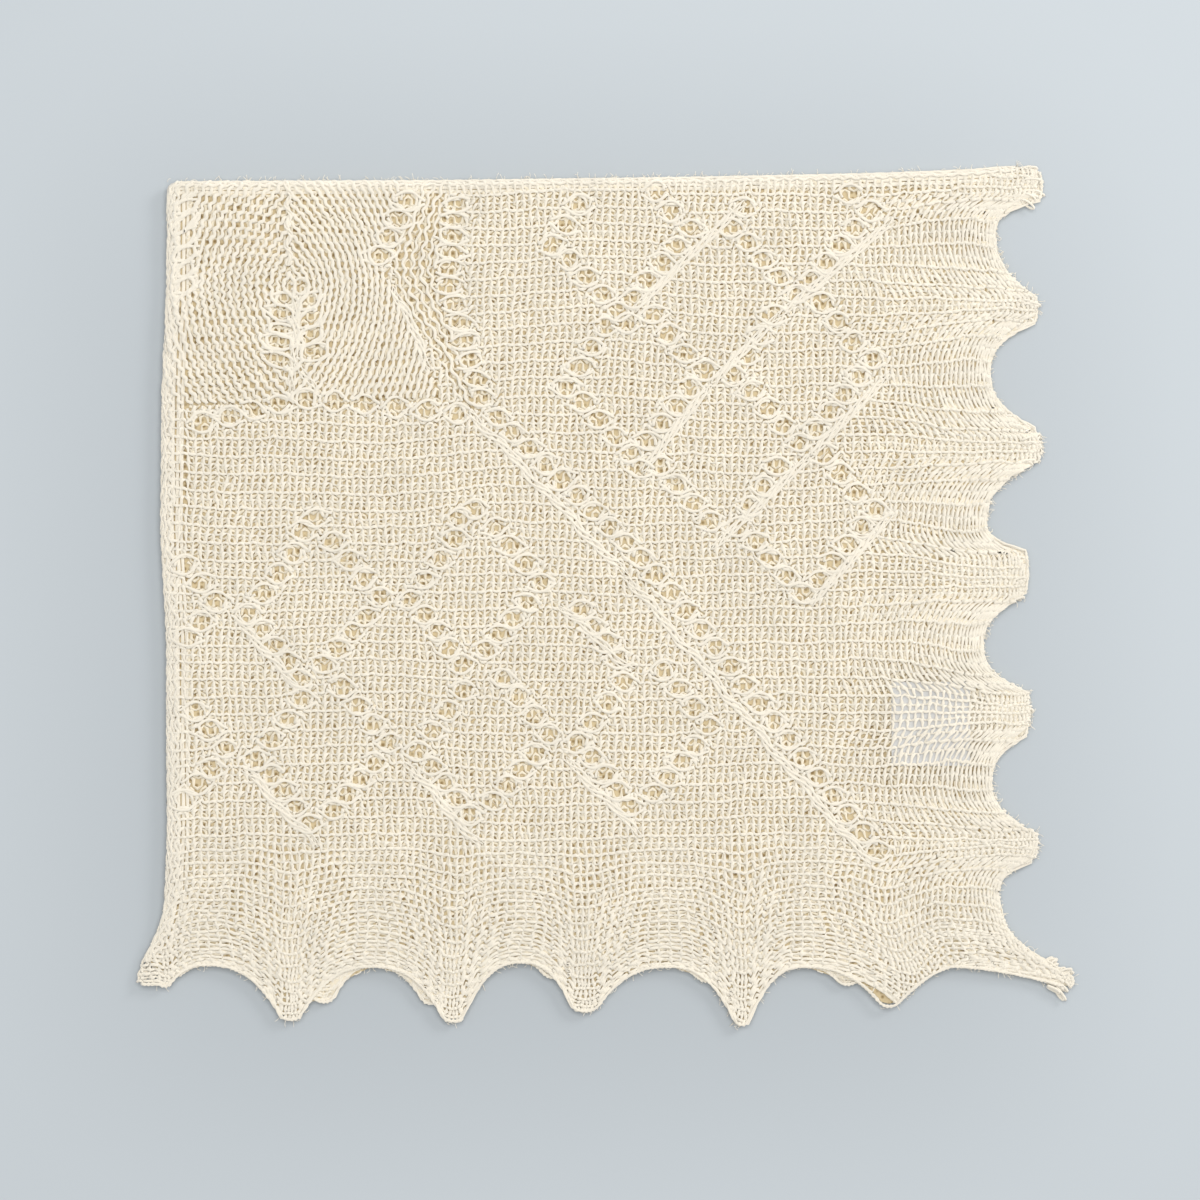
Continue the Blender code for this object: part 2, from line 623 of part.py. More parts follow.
def centre_on_origin(objects):
    """Moves every mesh so that the middle of the shared box's underside is the origin."""
    corners = np.array([v.co[:] for obj in objects for v in obj.data.vertices])
    low, high = corners.min(axis=0), corners.max(axis=0)
    shift = Vector((-(low[0] + high[0]) / 2.0, -(low[1] + high[1]) / 2.0, -low[2]))
    for obj in objects:
        for vertex in obj.data.vertices:
            vertex.co += shift


def main():
    for obj in list(bpy.data.objects):
        bpy.data.objects.remove(obj, do_unlink=True)
    parts = [front_quarter(), folded_layers(), care_label()]
    centre_on_origin(parts)


main()
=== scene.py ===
"""Looks of the folded baby shawl: the knitted yarn, its layers, the label, and the studio."""
import math

import bpy
import numpy as np
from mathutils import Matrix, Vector
from mathutils.bvhtree import BVHTree


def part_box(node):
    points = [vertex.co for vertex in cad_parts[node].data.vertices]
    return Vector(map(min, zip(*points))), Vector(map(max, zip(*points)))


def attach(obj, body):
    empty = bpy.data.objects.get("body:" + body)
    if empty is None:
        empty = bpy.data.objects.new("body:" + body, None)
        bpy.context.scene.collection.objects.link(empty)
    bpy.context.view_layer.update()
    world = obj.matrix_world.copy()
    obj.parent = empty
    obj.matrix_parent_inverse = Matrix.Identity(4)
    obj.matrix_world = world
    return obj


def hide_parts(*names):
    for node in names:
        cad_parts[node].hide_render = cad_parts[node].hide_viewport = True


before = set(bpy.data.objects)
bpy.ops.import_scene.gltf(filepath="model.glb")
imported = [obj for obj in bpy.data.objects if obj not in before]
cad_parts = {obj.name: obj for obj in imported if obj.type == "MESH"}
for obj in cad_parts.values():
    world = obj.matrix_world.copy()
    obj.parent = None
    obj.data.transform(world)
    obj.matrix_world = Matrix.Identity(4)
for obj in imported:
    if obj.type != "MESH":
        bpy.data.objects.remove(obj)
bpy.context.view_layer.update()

# All lengths are millimetres in the working frame of the part's source: zero at the folded corner, X right
# along the top fold, Y up the picture. SHIFT moves this to the part's origin.
MM = 0.001
TINY = 1e-9  # keeps a division from being by zero
LABEL_BOX = (414.0, -334.0, 459.0, -286.0)
label_low, label_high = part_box("care_label")
SHIFT = np.zeros(3)
for i in range(2):
    SHIFT[i] = (label_low[i] + label_high[i]) / 2.0 / MM - (LABEL_BOX[i] + LABEL_BOX[i + 2]) / 2.0

# The stack of layers.
STACK_H = 10.5
EDGE_H = 5.6
BOTTOM_LINE = -450.0
RIGHT_LINE = 471.0
# columns: distance in from the mean line, share of the full thickness
THICKENING = ((-14, 0), (6, 0.3), (26, 0.78), (50, 1))
LABEL_RISE = 1.2
LABEL_MARGIN = 3.0
LABEL_FALL = 15.0

# The folds' silhouettes and rounded sections.
# columns: Y, X of the left fold's outer edge
LEFT_FOLD = (
    (-455, -18.5), (-447, -15.5), (-433, -7.5), (-419, -2), (-372, 0), (-324, -0.5), (-262, -0.5),
    (-200, -4), (-120, -3), (-60, 0), (-8, 0))
# columns: X, Y of the top fold's outer edge
TOP_FOLD = ((8, 0), (150, 0.5), (305, 2.5), (400, 4.5), (455, 6.5), (485, 9.5), (496, 8))
LEFT_ROUND = 10.0
TOP_ROUND = 5.6
LEFT_WRAP = 138.0
TOP_WRAP = 110.0
LEFT_DROP = 0.5
TOP_DROP = 0.25
LEAST_DROP = 2.4
LEAST_DOWN = 0.7
QUARTER_SPARE = 1.02  # cloth over a fold, as a share of its section's quarter
FOLD_SMOOTHING = (-9.0, -6.0, -3.0, 0.0, 3.0, 6.0, 9.0)  # an edge is the mean of its places shifted so

# Scallops. columns: tip along, tip reach, half-width of its blunt end, second layer's tip along, its reach
BOTTOM_TIPS = (
    (-1, 461, 3, 6, 455), (71, 480, 5, 90, 470), (164, 481, 5, 152, 471), (239, 475, 6.5, 223, 456),
    (329, 483, 3.5, 308, 458), (413, 472.5, 4.5, 389, 460), (518, 463, 2, 514, 461))
BOTTOM_HOLLOWS = ((23, 448.5), (118, 449.5), (203, 447), (287, 449.5), (364, 449.5), (450, 449.5))
RIGHT_TIPS = (
    (0, 498, 8, -3, 501), (-71, 498.5, 5, -76, 498), (-153, 500.5, 7, -148, 498),
    (-226, 491, 12, -223, 493), (-302, 494, 10.5, -307, 493), (-379, 498.5, 7, -382, 496),
    (-457, 519, 3, -455, 517))
RIGHT_HOLLOWS = ((-29, 474), (-109, 471), (-196, 469), (-266, 467), (-343, 472), (-407, 476))
SCALLOP_POWER = 2.5
CORNER_POWER = 1.6
NOSE_ROUND = 1.2
PAST_TIPS = 20.0
REACH_STEP = 0.5

# The knitting. A stitch is one wale wide and one row high.
WALE = 8.3
ROW = 4.95
LOOP_SWING = 0.09  # sideways swing of the yarn, as a share of the wale
LOOP_FRONT = 0.35  # how far the yarn goes in front of the cloth, and behind it
LOOP_BACK = 0.8
BACK_WIDTH = 0.55  # the yarn's width there, as a share
LOOP_HALF = 0.57  # from a loop's middle to its head, in rows
LOOP_SQUARE = 0.8  # under 1, a loop's head is flatter than a wave's
LEG_BOW = 0.25  # how far a loop's legs bow out
STEPS = 10  # points of yarn in a stitch
UNEVEN = 0.13  # how much the yarn's width varies, as a share
UNEVEN_TURN = 0.83  # and how fast, in radians a point
LEAST_STEP = 0.25  # points nearer to the last one are left out
LEAST_POINTS = 4  # a run of fewer points is left out
SHARPEST_TURN = -0.6  # cosine of the sharpest turn that is kept
NET_SINK = 1.0  # from the top of the stack down to the net's middle
NET_ROWS = range(-2, 102)
NET_WALES = (-3.0, 61.0)
BAND_ROWS = 21  # rows in one piece of the net
EDGE_ROOM = 0.5  # the net ends this far inside the border's edge
# The border: past these lines more cloth crowds into the room up to the scalloped edge.
LOW_LINE = -375.0
LOW_CLOTH = 128.0
SIDE_LINE = 375.0
SIDE_CLOTH = 138.0
CROWDING = 1.35
# Past PULL_LINE the cloth is drawn to the nearest tip, by a share of the way between two.
PULL_LINE = 395.0
LOW_FADE = 75.0
SIDE_FADE = 85.0
TIP_PULL = 0.085
# Where the field starts, and how its wales and rows wander. columns: swing, length along X and along Y, phase
FIELD_START = (10.0, -5.0)
WALE_WAVES = ((0.9, 83, 31, 0), (0.6, -41, 13, 2))
ROW_WAVES = ((0.9, 37, -97, 1), (0.7, 17, 53, 0))
# Where the rows rise or tilt. columns: X, Y, spread, rise, further rise at one spread to the right
TILTS = (
    (205, -95, 60, 3, 6), (140, -175, 60, -2, 3), (60, -300, 70, 1.5, 2), (430, -250, 70, 1, -2),
    (250, -380, 80, -1, 2))
# The grid of small uneven shifts: their spread, its rows and wales, and how many of them lie before zero.
JITTER = 0.65
JITTER_SIZE = (140, 90)
JITTER_BEFORE = (20.0, 12.0)

# The second layer's net is two pieces, each from one of these rows on.
UNDER_BANDS = (-1, 50)
UNDER_ROWS = 51
UNDER_WALES = (0.0, 60.0)
UNDER_SHIFT = (0.37, 0.45)  # how far it lies off the first net, in wales and rows
UNDER_INSETS = (5.0, 3.5)  # it ends this far inside the left fold and the top fold
UNDER_STEPS = 6
UNDER_SINK = 3.5
UNDER_LIFT = 0.4  # from the hidden layers' form up to its yarn's middle
UNDER_RELIEF = 0.3  # share of its rise and fall left on the form
FACES_UP = 0.9  # it lies on the form where its normal's Z is over this
# The hidden layers' form is this much lower on top, down to this depth under the top of the stack.
FORM_SINK = 0.3
FORM_DEPTH = 2.65

# The yarn's section in each piece. columns: radius, sides, height as a share of the width
NET_YARN = (1.2, 4, 0.5)
RING_YARN = (1.42, 4, 0.7)
RIM_YARN = (1.1, 4, 0.5)
RIB_YARN = (0.95, 4, 0.6)
UNDER_YARN = (1.15, 3, 0.95)
ROPE_YARN = (0.8, 4, 0.9)
FLAP_YARN = (0.95, 4, 0.8)
SIDE_YARN = (0.9, 4, 0.6)
LOOP_YARN = (0.75, 3, 1.0)
EDGE_FIBRE = (0.16, 3, 1.0)
TOP_FIBRE = (0.13, 3, 1.0)
# How strands are twisted. columns: length of a turn, swing, strands, lift
RIB_TWIST = (40.0, 1.8, 4, 0.45)
TOP_RIB_TWIST = (13.0, 0.9, 3, 0.9)
LADDER_TWIST = (9.0, 0.6, 2, 0.6)
ROPE_TWIST = (5.2, 0.62, 2, 0.9)

# Eyelets: half-width and half-height. The columns of the tables are as in the part's source.
EYELET = (5.0, 4.3)
LEAF_EYELET = (5.2, 2.9)
LADDER_EYELET = (6.0, 3.7)
EYELET_SIZES = (0.9, 1.12)
EYELET_TILT = 12.0
FIRST_EYELET = 4.0  # nearer to the left fold than this there is none
FLOW_REACH = 9.0  # how far beside a rim the legs still bend
RIM = 1.1  # yarn keeps this far from an eyelet's middle, in its half-widths
CROSSING = 0.85  # yarn nearer to the middle than this is cut
LEAST_AWAY = 0.05
FULLY_MOVED = 0.4  # yarn moved this far or more is smoothed in full
STRAND_LEG = 0.6  # a strand's way round an eyelet: 0 over or under, 1 beside
# The strands over and under an eyelet, in its half-heights and half-widths.
RIM_OVER = 1.24
RIM_BESIDE = 1.22
RIM_POWER = 3.0
RIM_LENGTHS = (1.6, 2.1)
RIM_STEP = 1.5
RIM_LEAN = 0.08
WIDE_EYELET = 5.7  # wider eyelets stand close, so their rims are shorter
WIDE_SHARE = 0.72
# columns: side, first X and Y and last X and Y from the diamond's middle, count
RIGHT_SIDES = (
    ("UL", -21, 39, -44, 4.5, 4), ("LL", -34, -4, -6.5, -33.5, 4), ("LR", 2.5, -26, 35.5, 14, 5),
    ("UR", 6, 46, 24, 23.7, 3))
BOTTOM_SIDES = (
    ("UL", -11.4, 35.3, -37.6, 0.6, 4), ("LL", -29, -8, -8, -36, 4), ("UR", 11.4, 42, 37.6, 10.3, 4),
    ("LR", 29.6, -1, 6, -28, 4))
# columns: middle X, middle Y, and the sides knitted where not all are
RIGHT_DIAMONDS = ((264.5, -41.5), (366, -31.5), (272, -122.5), (368, -116), (370, -202))
BOTTOM_DIAMONDS = (
    (84.5, -248), (176.7, -239.8), (-9, -250.6, "UR", "LR"), (89.5, -331), (181.3, -326),
    (-3.4, -334.4, "UR", "LR"), (266, -237, "LL"), (272.5, -321.3))
# columns: x0, y0, x1, y1, count
PLAIN_LINES = (
    (189.2, -135.1, 271.3, -215.5, 10), (279.9, -224.6, 405.8, -382.5, 16), (21, -138, 80, -124.5, 5),
    (96.3, -126, 166.5, -133, 5), (138.5, -12, 122, -43, 4), (85, -192.7, 78.7, -200, 2),
    (176.7, -187.5, 168, -192.7, 2), (282, -163, 311, -194.4, 4), (271, -164.5, 271, -164.5, 1),
    (263, -81.5, 263, -81.5, 1))
# The leaf's eyelets. columns: X, Y, half-width, half-height, tilt in degrees
LEAF_EYELETS = (
    (77.3, -60.4, 3, 3.6, 0), (68, -68, 4.6, 3, -25), (82, -69, 5.2, 3.4, 42), (65.8, -75.6, 5.8, 3.7, -5),
    (82, -79.5, 6, 3.4, 28), (65.3, -84.8, 6.6, 2.3, 0), (82.9, -88.5, 6.6, 3.5, 15),
    (64.8, -92.4, 7, 3.3, -3), (84.6, -98, 7.4, 4.2, 8), (64.5, -102.5, 6.6, 3.2, -10))
# The pale ladder by the left fold: X, first Y, last Y, count, tilt
LEFT_LADDER = (11.5, -15.0, -60.0, 6, 32.0)
LADDER_LINES = ((166.5, -14, 162, -50, 5), (162, -60, 180, -124, 7))
# Thick decrease ribs. columns: x0, y0, x1, y1
RIBS = (
    (173, -131.7, 262, -225), (262, -225, 402, -390), (74, -63, 74, -106), (74, -104, 71, -123),
    (75, -104, 86, -123), (266, -75, 330, -13), (271, -167, 311, -116), (225, -242, 266, -280),
    (311, -116, 350, -77), (350, -77, 415, -23), (312, -210, 368, -157), (368, -157, 413, -110),
    (366.5, -243, 415.5, -189), (40, -248, 77, -292), (44.5, -335, 87, -380), (137, -332, 179.5, -380),
    (228, -329, 271, -374), (130, -60, 151, -108))

# The wavy rib over the leaf: X, first Y, last Y, swing, length of a wave
TOP_RIB = (70.2, -2.0, -50.0, 1.3, 11.5)
RIB_END = 0.5  # a rib thins to this share at its ends, over RIB_TAPER
RIB_TAPER = 14.0
PATH_STEP = 1.5
# The strands along the folds, from Y to Y and from X to X, packed together.
LEFT_SPAN = (-446.0, -1.0)
TOP_SPAN = (1.0, 486.0)
# columns: distance in from the fold's edge, swing, length of a wave
LEFT_FOLD_STRANDS = ((0.4, 0.5, 9), (2.3, 0.7, 8), (4.6, 0.8, 9.5), (7.4, 1, 8.5))
TOP_FOLD_STRANDS = ((0.3, 0.3, 8), (1.7, 0.5, 9), (3.6, 0.6, 7.5))
FOLD_STEP = 2.0
FOLD_WIDTH = 0.95
# The wide strands under them, by distance in
LEFT_FILL = (1.3, 3.3, 5.5, 7.9, 10.4, 12.8)
TOP_FILL = (1.2, 3.0, 5.0, 7.2)
FILL_STEP = 3.0
FILL_LIFT = -0.95
FILL_WIDTH = 1.9

# The strands on the hidden layers' sides. columns: first and last place along the side, heights, way out
TOP_SIDE_HEIGHTS = (1.3, 2.4, 3.5, 4.6, 5.7, 6.8)
LOW_SIDE_HEIGHTS = (1.3, 2.3, 3.3)
SIDE_STRANDS = ((2.0, 494.0, TOP_SIDE_HEIGHTS, (0.0, 1.0)), (-445.0, -6.0, LOW_SIDE_HEIGHTS, (-1.0, 0.0)),
                (-14.0, 516.0, LOW_SIDE_HEIGHTS, (0.0, -1.0)), (-455.0, 4.0, LOW_SIDE_HEIGHTS, (1.0, 0.0)))
SIDE_STRAND_STEP = 2.4
SIDE_STRAND_SWING = 0.35
SIDE_STRAND_WAVE = 8.0
SIDE_STRAND_GAP = 0.2  # from the form's side out to the strand's middle
LONGEST_STEP = 9.0  # a strand ends where its next point would be further away than this
# From where the form's sides and its top are looked for.
OUTSIDE = ((-60, -560), (600, 60))
OUTSIDE_REACH = 200.0
OVERHEAD = 30.0

# The scalloped edges, by X and by Y, with the bound-off rope of each layer this far in.
BOTTOM_SPAN = (-14.0, 514.0)
RIGHT_SPAN = (-455.0, 6.0)
ROPE_INSETS = (0.9, 0.9, 2.4, 3.6)
ROPE_STEP = 2.0
ROPE_SINK = 0.9
ROPE_LOWEST = 0.75
# The second layer's strands where it shows, and those in the two corners by the folds, by distance in.
FLAP_INSETS = (2.2, 4.0, 5.8, 7.8, 10.0, 12.4, 15.0)
FLAP_OVERLAP = 4.0
FLAP_LIFT = 0.35
BESIDE_FORM = 2.5  # height of a strand where no form is under it
CORNER_INSETS = (1.5, 3.6, 5.8, 8.2, 10.6, 13.2, 16.0)
LEFT_CORNER = (-458.0, -418.0)
TOP_CORNER = (462.0, 497.0)
CORNER_HEIGHT = 3.4
FLAP_STEP = 1.6
FLAP_SWING = 0.5
FLAP_WAVE = 7.0
CORNER_WAVE = 6.0

FIBRES = 1000
TOP_FIBRES = 1500
LOOP_COPIES = 4  # of each row of the table, each one turned and moved a little
LOOP_SPACING = 2.6  # of the small loops down the right edge
# Loose loops at the tips. columns: X, Y, heading in degrees, length, width
TIP_LOOPS = (
    (492, 6, 20, 9, 3), (490, 1, -15, 12, 3.4), (491, -6, -12, 13, 3), (488, -9.5, 5, 12, 3.2),
    (484, -13, 30, 9, 2.6), (490, -66, -25, 8, 2.4), (491, -71, -8, 10, 3.2), (491, -77, 15, 8, 3),
    (490, -147, 8, 10, 3.2), (492, -151, -20, 10, 3.4), (493, -156, 5, 9, 3), (489, -159, -10, 9, 2.6),
    (484, -217, 10, 9, 3), (485, -224, -12, 9, 3.2), (484, -230, 8, 9, 3), (482, -236, -18, 9, 2.8),
    (486, -297, 15, 8, 3), (488, -303, -8, 8, 3), (485, -310, -20, 8, 2.8), (490, -376, 12, 9, 3),
    (490, -383, -10, 8, 3), (506, -452, 5, 14, 3), (508, -456, -15, 13, 3.2), (504, -459, -30, 13, 2.8),
    (510, -454, 25, 9, 2.6), (505, -447, 20, 9, 3), (509, -460, -35, 11, 3))

# Wide wales between the medallion and the ladder: their left edge from the top down. columns: X, Y
SIDE_SPINE = ((146, 20), (144, 0), (136, -22), (130, -43), (132, -60), (143, -80), (157, -103), (169, -128))
# their right edge, beside the ladder
LADDER_SIDE = ((162, 20), (160.5, -14), (156, -50), (156, -60), (174, -124), (178, -131))
SIDE_WALES = 8
SIDE_INSET = 1.0  # from the left edge to the first wale, and on to each next one
SIDE_STEP = 4.7
SIDE_ROW = 8.6
SIDE_STEPS = 9.0
SIDE_WAVE = 0.95
SIDE_LIFT = 0.25
SIDE_SMOOTHING = (-8.0, -4.0, 0.0, 4.0, 8.0)  # the spine is the mean of its places shifted so

# The medallion in the folded corner: rounded rings of plain knitting about a leaf. Its outline. columns: X, Y
MEDALLION = (
    (-30, 30), (-30, -129), (77, -127), (156, -124), (151, -108), (130, -60), (121, -47), (134, -6),
    (137, 30))
RING_MIDDLE = (71.5, -60.0)
RING_POWER = 1.8
# Half-height of a ring for each unit of its half-width. columns: left, right
RING_TALL_ABOVE = (1.77, 1.77)
RING_TALL_BELOW = (1.83, 2.2)
RING_COUNTS = (33, 39)  # strands on the left and on the right
RING_STRANDS = (3.9, 3.3)  # they stand this far apart there
RING_ROW = 5.2
RING_STEPS = 7.0  # points in a wave
RING_GAP = 2.5  # left between two strands where they lean together, from middle to middle
RING_LIFT = 0.2
RING_OVERLAP = 0.5  # how far a strand goes over the middle line
RING_SHARES = (1.3, 400)  # a ring's quarter is followed this far, in so many points
# Where strands lean this many degrees or more, their waves are set off from each other as for the mean lean.
RING_LEANS = (12.0, 24.0)
RING_MEAN_LEAN = math.radians(36.0)
RING_JITTER = 0.45

# Colours.
WOOL = (0.905, 0.853, 0.747)
# The second layer's yarn: the same wool painted darker and more tan, as painted shade under the top net.
WOOL_BELOW_SHADED = (0.90, 0.828, 0.678)
# Painted shade on the hidden layers' form: a tan tone, and darker spots as painted shadow deep in the gaps.
PAINTED_SHADE_PALE = (0.72, 0.61, 0.40)
PAINTED_SHADOW_DARK = (0.36, 0.25, 0.11)
PAINTED_SHADOW_SPACING = 0.0034  # in metres
LABEL_WHITE = (0.73, 0.725, 0.71)
FLOOR_TONE = (0.574, 0.617, 0.645)

# The studio, in metres.
# A painted shadow on the floor round the shawl, fading out towards the edges of the picture.
PAINTED_SHADOW_MIDDLE = (-0.018, -0.018, 0.0)
PAINTED_SHADOW_CELL = 8.0  # the texture's cell, wider than the floor
PAINTED_SHADOW_NEAR = 0.19  # where the painted shadow's darkest tone ends; at the next distance the floor's own starts
PAINTED_SHADOW_FAR = 0.36
PAINTED_SHADOW_SHARE = 0.765  # the painted shadow's darkest tone as a share of the floor's
PAINTED_SHADOW_SQUARENESS = 4.5
# columns: name, place, size, power
LIGHTS = (("sky", (0.15, 0.5, 3.2), 2.4, 76), ("key", (1.75, 1.2, 1.3), 0.8, 16))
SKY_TONE = (0.98, 0.99, 1.0)
SKY_STRENGTH = 0.40
VIEW_FIELD = 0.684  # width of the photo's frame at the shawl
VIEW_MIDDLE = (-0.0034, -0.0023)
CAMERA_HEIGHT = 2.4  # over the top of the shawl
SHAWL_TOP = 0.01
SENSOR_WIDTH = 36.0  # in millimetres

random = np.random.default_rng(7)


# Tables and curves.

def smooth_curve(table, shifts):
    """A function that reads a table at any places, as the mean of what it says at places shifted so."""
    along, across = np.array(table).T
    return lambda s: sum(np.interp(s + shift, along, across) for shift in shifts) / len(shifts)


left_edge = smooth_curve(LEFT_FOLD, FOLD_SMOOTHING)
top_edge = smooth_curve(TOP_FOLD, FOLD_SMOOTHING)


def scallop_reach(tips, hollows, s, sign, corner_power):
    """How far the border reaches at s. Tips and hollows are (along, reach, ...) rows in the edge's order."""
    s = sign * s
    for i, (hollow_s, hollow_reach) in enumerate(hollows):
        first, last = sign * tips[i][0], sign * tips[i + 1][0]
        corner = i + 1 == len(hollows)
        if s > last and not corner:
            continue
        tip = tips[i] if s < sign * hollow_s else tips[i + 1]
        tip_s, reach, nose = sign * tip[0], tip[1], tip[2]
        from_tip = abs(s - tip_s)
        if from_tip < nose or s < first or s > last:
            return reach - NOSE_ROUND * min(from_tip / nose, 1.0) ** 2
        t = abs(s - sign * hollow_s) / (abs(tip_s - sign * hollow_s) - nose)
        power = corner_power if corner else SCALLOP_POWER
        return hollow_reach + (reach - NOSE_ROUND - hollow_reach) * t ** power


def reach_curve(tips, hollows, sign, corner_power):
    """The border's reach as a function of places along the edge. Sign is -1 where those places fall."""
    low, high = min(t[0] for t in tips) - PAST_TIPS, max(t[0] for t in tips) + PAST_TIPS
    places = np.arange(low, high, REACH_STEP)
    reaches = np.array([scallop_reach(tips, hollows, s, sign, corner_power) for s in places])
    return lambda s: np.interp(s, places, reaches)


def second_tips(tips):
    return [(along, reach, nose) for _, _, nose, along, reach in tips]


bottom_reach = reach_curve(BOTTOM_TIPS, BOTTOM_HOLLOWS, 1.0, CORNER_POWER)
right_reach = reach_curve(RIGHT_TIPS, RIGHT_HOLLOWS, -1.0, SCALLOP_POWER)
# The second layer has its own tips over the same hollows.
second_bottom = reach_curve(second_tips(BOTTOM_TIPS), BOTTOM_HOLLOWS, 1.0, CORNER_POWER)
second_right = reach_curve(second_tips(RIGHT_TIPS), RIGHT_HOLLOWS, -1.0, SCALLOP_POWER)


def ease(t):
    t = np.clip(t, 0.0, 1.0)
    return t * t * (3.0 - 2.0 * t)


def stack_height(x, y):
    places, shares = np.array(THICKENING).T
    share = np.minimum(np.interp(y - BOTTOM_LINE, places, shares), np.interp(RIGHT_LINE - x, places, shares))
    return EDGE_H + (STACK_H - EDGE_H) * share


def label_lift(x, y):
    x0, y0, x1, y1 = LABEL_BOX
    out = np.maximum(np.maximum(x0 - x, x - x1), np.maximum(y0 - y, y - y1)) - LABEL_MARGIN
    return LABEL_RISE * np.clip(1.0 - out / LABEL_FALL, 0.0, 1.0)


def inside(polygon, x, y):
    hit = np.zeros(np.shape(x), dtype=bool)
    for (xa, ya), (xb, yb) in zip(polygon, polygon[1:] + polygon[:1]):
        if ya != yb:
            hit ^= ((ya > y) != (yb > y)) & (x < xa + (y - ya) / (yb - ya) * (xb - xa))
    return hit


def turned(x, y, degrees):
    c, s = math.cos(math.radians(degrees)), math.sin(math.radians(degrees))
    return x * c - y * s, x * s + y * c


def path_length(x, y):
    return np.concatenate([[0.0], np.cumsum(np.hypot(np.diff(x), np.diff(y)))])


# The cloth in the plane: where a stitch lies, by wale and row.

def tip_pull(s, tips):
    """Sideways pull towards the nearest scallop tip, at places s along an edge."""
    along = np.array(sorted(t[0] for t in tips))
    pull = np.zeros_like(s)
    for a, b in zip(along, along[1:]):
        between = (s >= a) & (s < b)
        pull = np.where(between, -TIP_PULL * (b - a) * np.sin((s - a) / (b - a) * math.tau), pull)
    return pull


def crowd(out, room, full):
    """Distance past a border line for cloth that would lie out past it, when room is left for full."""
    share = np.clip(out / full, 0.0, 1.0)
    return room * (1.0 - (1.0 - share) ** CROWDING)


def waves(table, x, y):
    return sum(swing * np.sin(x / along_x + y / along_y + phase) for swing, along_x, along_y, phase in table)


def field(u, v, below=bottom_reach, beside=right_reach):
    """Plan place of wale u and row v in the plain field, drawn out to the scalloped border."""
    x = FIELD_START[0] + WALE * u
    y = FIELD_START[1] - ROW * v
    rise = waves(ROW_WAVES, x, y)
    for middle_x, middle_y, spread, lift, tilt in TILTS:
        off_x, off_y = (x - middle_x) / spread, (y - middle_y) / spread
        rise = rise + (lift + tilt * off_x) * np.exp(-off_x ** 2 - off_y ** 2)
    x = x + waves(WALE_WAVES, x, y)
    y = y + rise
    low = ease((-PULL_LINE - y) / LOW_FADE)
    side = ease((x - PULL_LINE) / SIDE_FADE)
    x = x + tip_pull(x, BOTTOM_TIPS) * low
    y = y + tip_pull(y, RIGHT_TIPS) * side
    y = np.where(y < LOW_LINE, LOW_LINE - crowd(LOW_LINE - y, below(x) + LOW_LINE, LOW_CLOTH), y)
    x = np.where(x > SIDE_LINE, SIDE_LINE + crowd(x - SIDE_LINE, beside(y) - SIDE_LINE, SIDE_CLOTH), x)
    return x, y


def in_cloth(x, y, below=bottom_reach, beside=right_reach):
    return (y > -below(x) + EDGE_ROOM) & (x < beside(y) - EDGE_ROOM)


SIDE_REGION = SIDE_SPINE + LADDER_SIDE[::-1]


def plain_field(x, y):
    return in_cloth(x, y) & ~inside(MEDALLION, x, y) & ~inside(SIDE_REGION, x, y)


def ring_curve(tall):
    """Places along a quarter of a ring of unit half-width, by length from its widest point."""
    share = np.linspace(0.0, *RING_SHARES)
    x = 1.0 - share ** RING_POWER
    y = tall * share
    return path_length(x, y), x, y


def ring_strand(side, number):
    """Plan path of one wavy strand beside the medallion's middle line, counted outwards from it."""
    column = 0 if side < 0.0 else 1
    half_width = RING_STRANDS[column] * number
    halves = []
    for tall in (RING_TALL_BELOW[column], RING_TALL_ABOVE[column]):
        length, x, y = ring_curve(tall)
        at = np.arange(0.0, length[-1] * half_width, RING_ROW / RING_STEPS)
        halves.append([half_width * np.interp(at / half_width, length, line) for line in (x, y)])
    x = np.concatenate([halves[0][0][:0:-1], halves[1][0]])
    y = np.concatenate([-halves[0][1][:0:-1], halves[1][1]])
    along_x, along_y = np.gradient(x), np.gradient(y)
    length = np.maximum(np.hypot(along_x, along_y), TINY)
    lean = np.degrees(np.arctan2(np.abs(along_x), np.abs(along_y)))
    slanted = ease((lean - RING_LEANS[0]) / (RING_LEANS[1] - RING_LEANS[0]))
    upright_phase = np.abs(y) / RING_ROW * math.tau
    phase = (np.abs(y) * math.cos(RING_MEAN_LEAN) - x * math.sin(RING_MEAN_LEAN)) / RING_ROW * math.tau
    wave = np.cos(phase) * slanted + np.cos(upright_phase) * (1.0 - slanted)
    sign = 1.0 if number % 2 else -1.0
    swing = (RING_STRANDS[column] - RING_GAP) / 2.0 * wave * sign
    x, y = x + swing * along_y / length, y - swing * along_x / length
    return RING_MIDDLE[0] + side * x, RING_MIDDLE[1] + y, np.full(len(x), RING_LIFT * sign)


# From the plane to the folded surface.

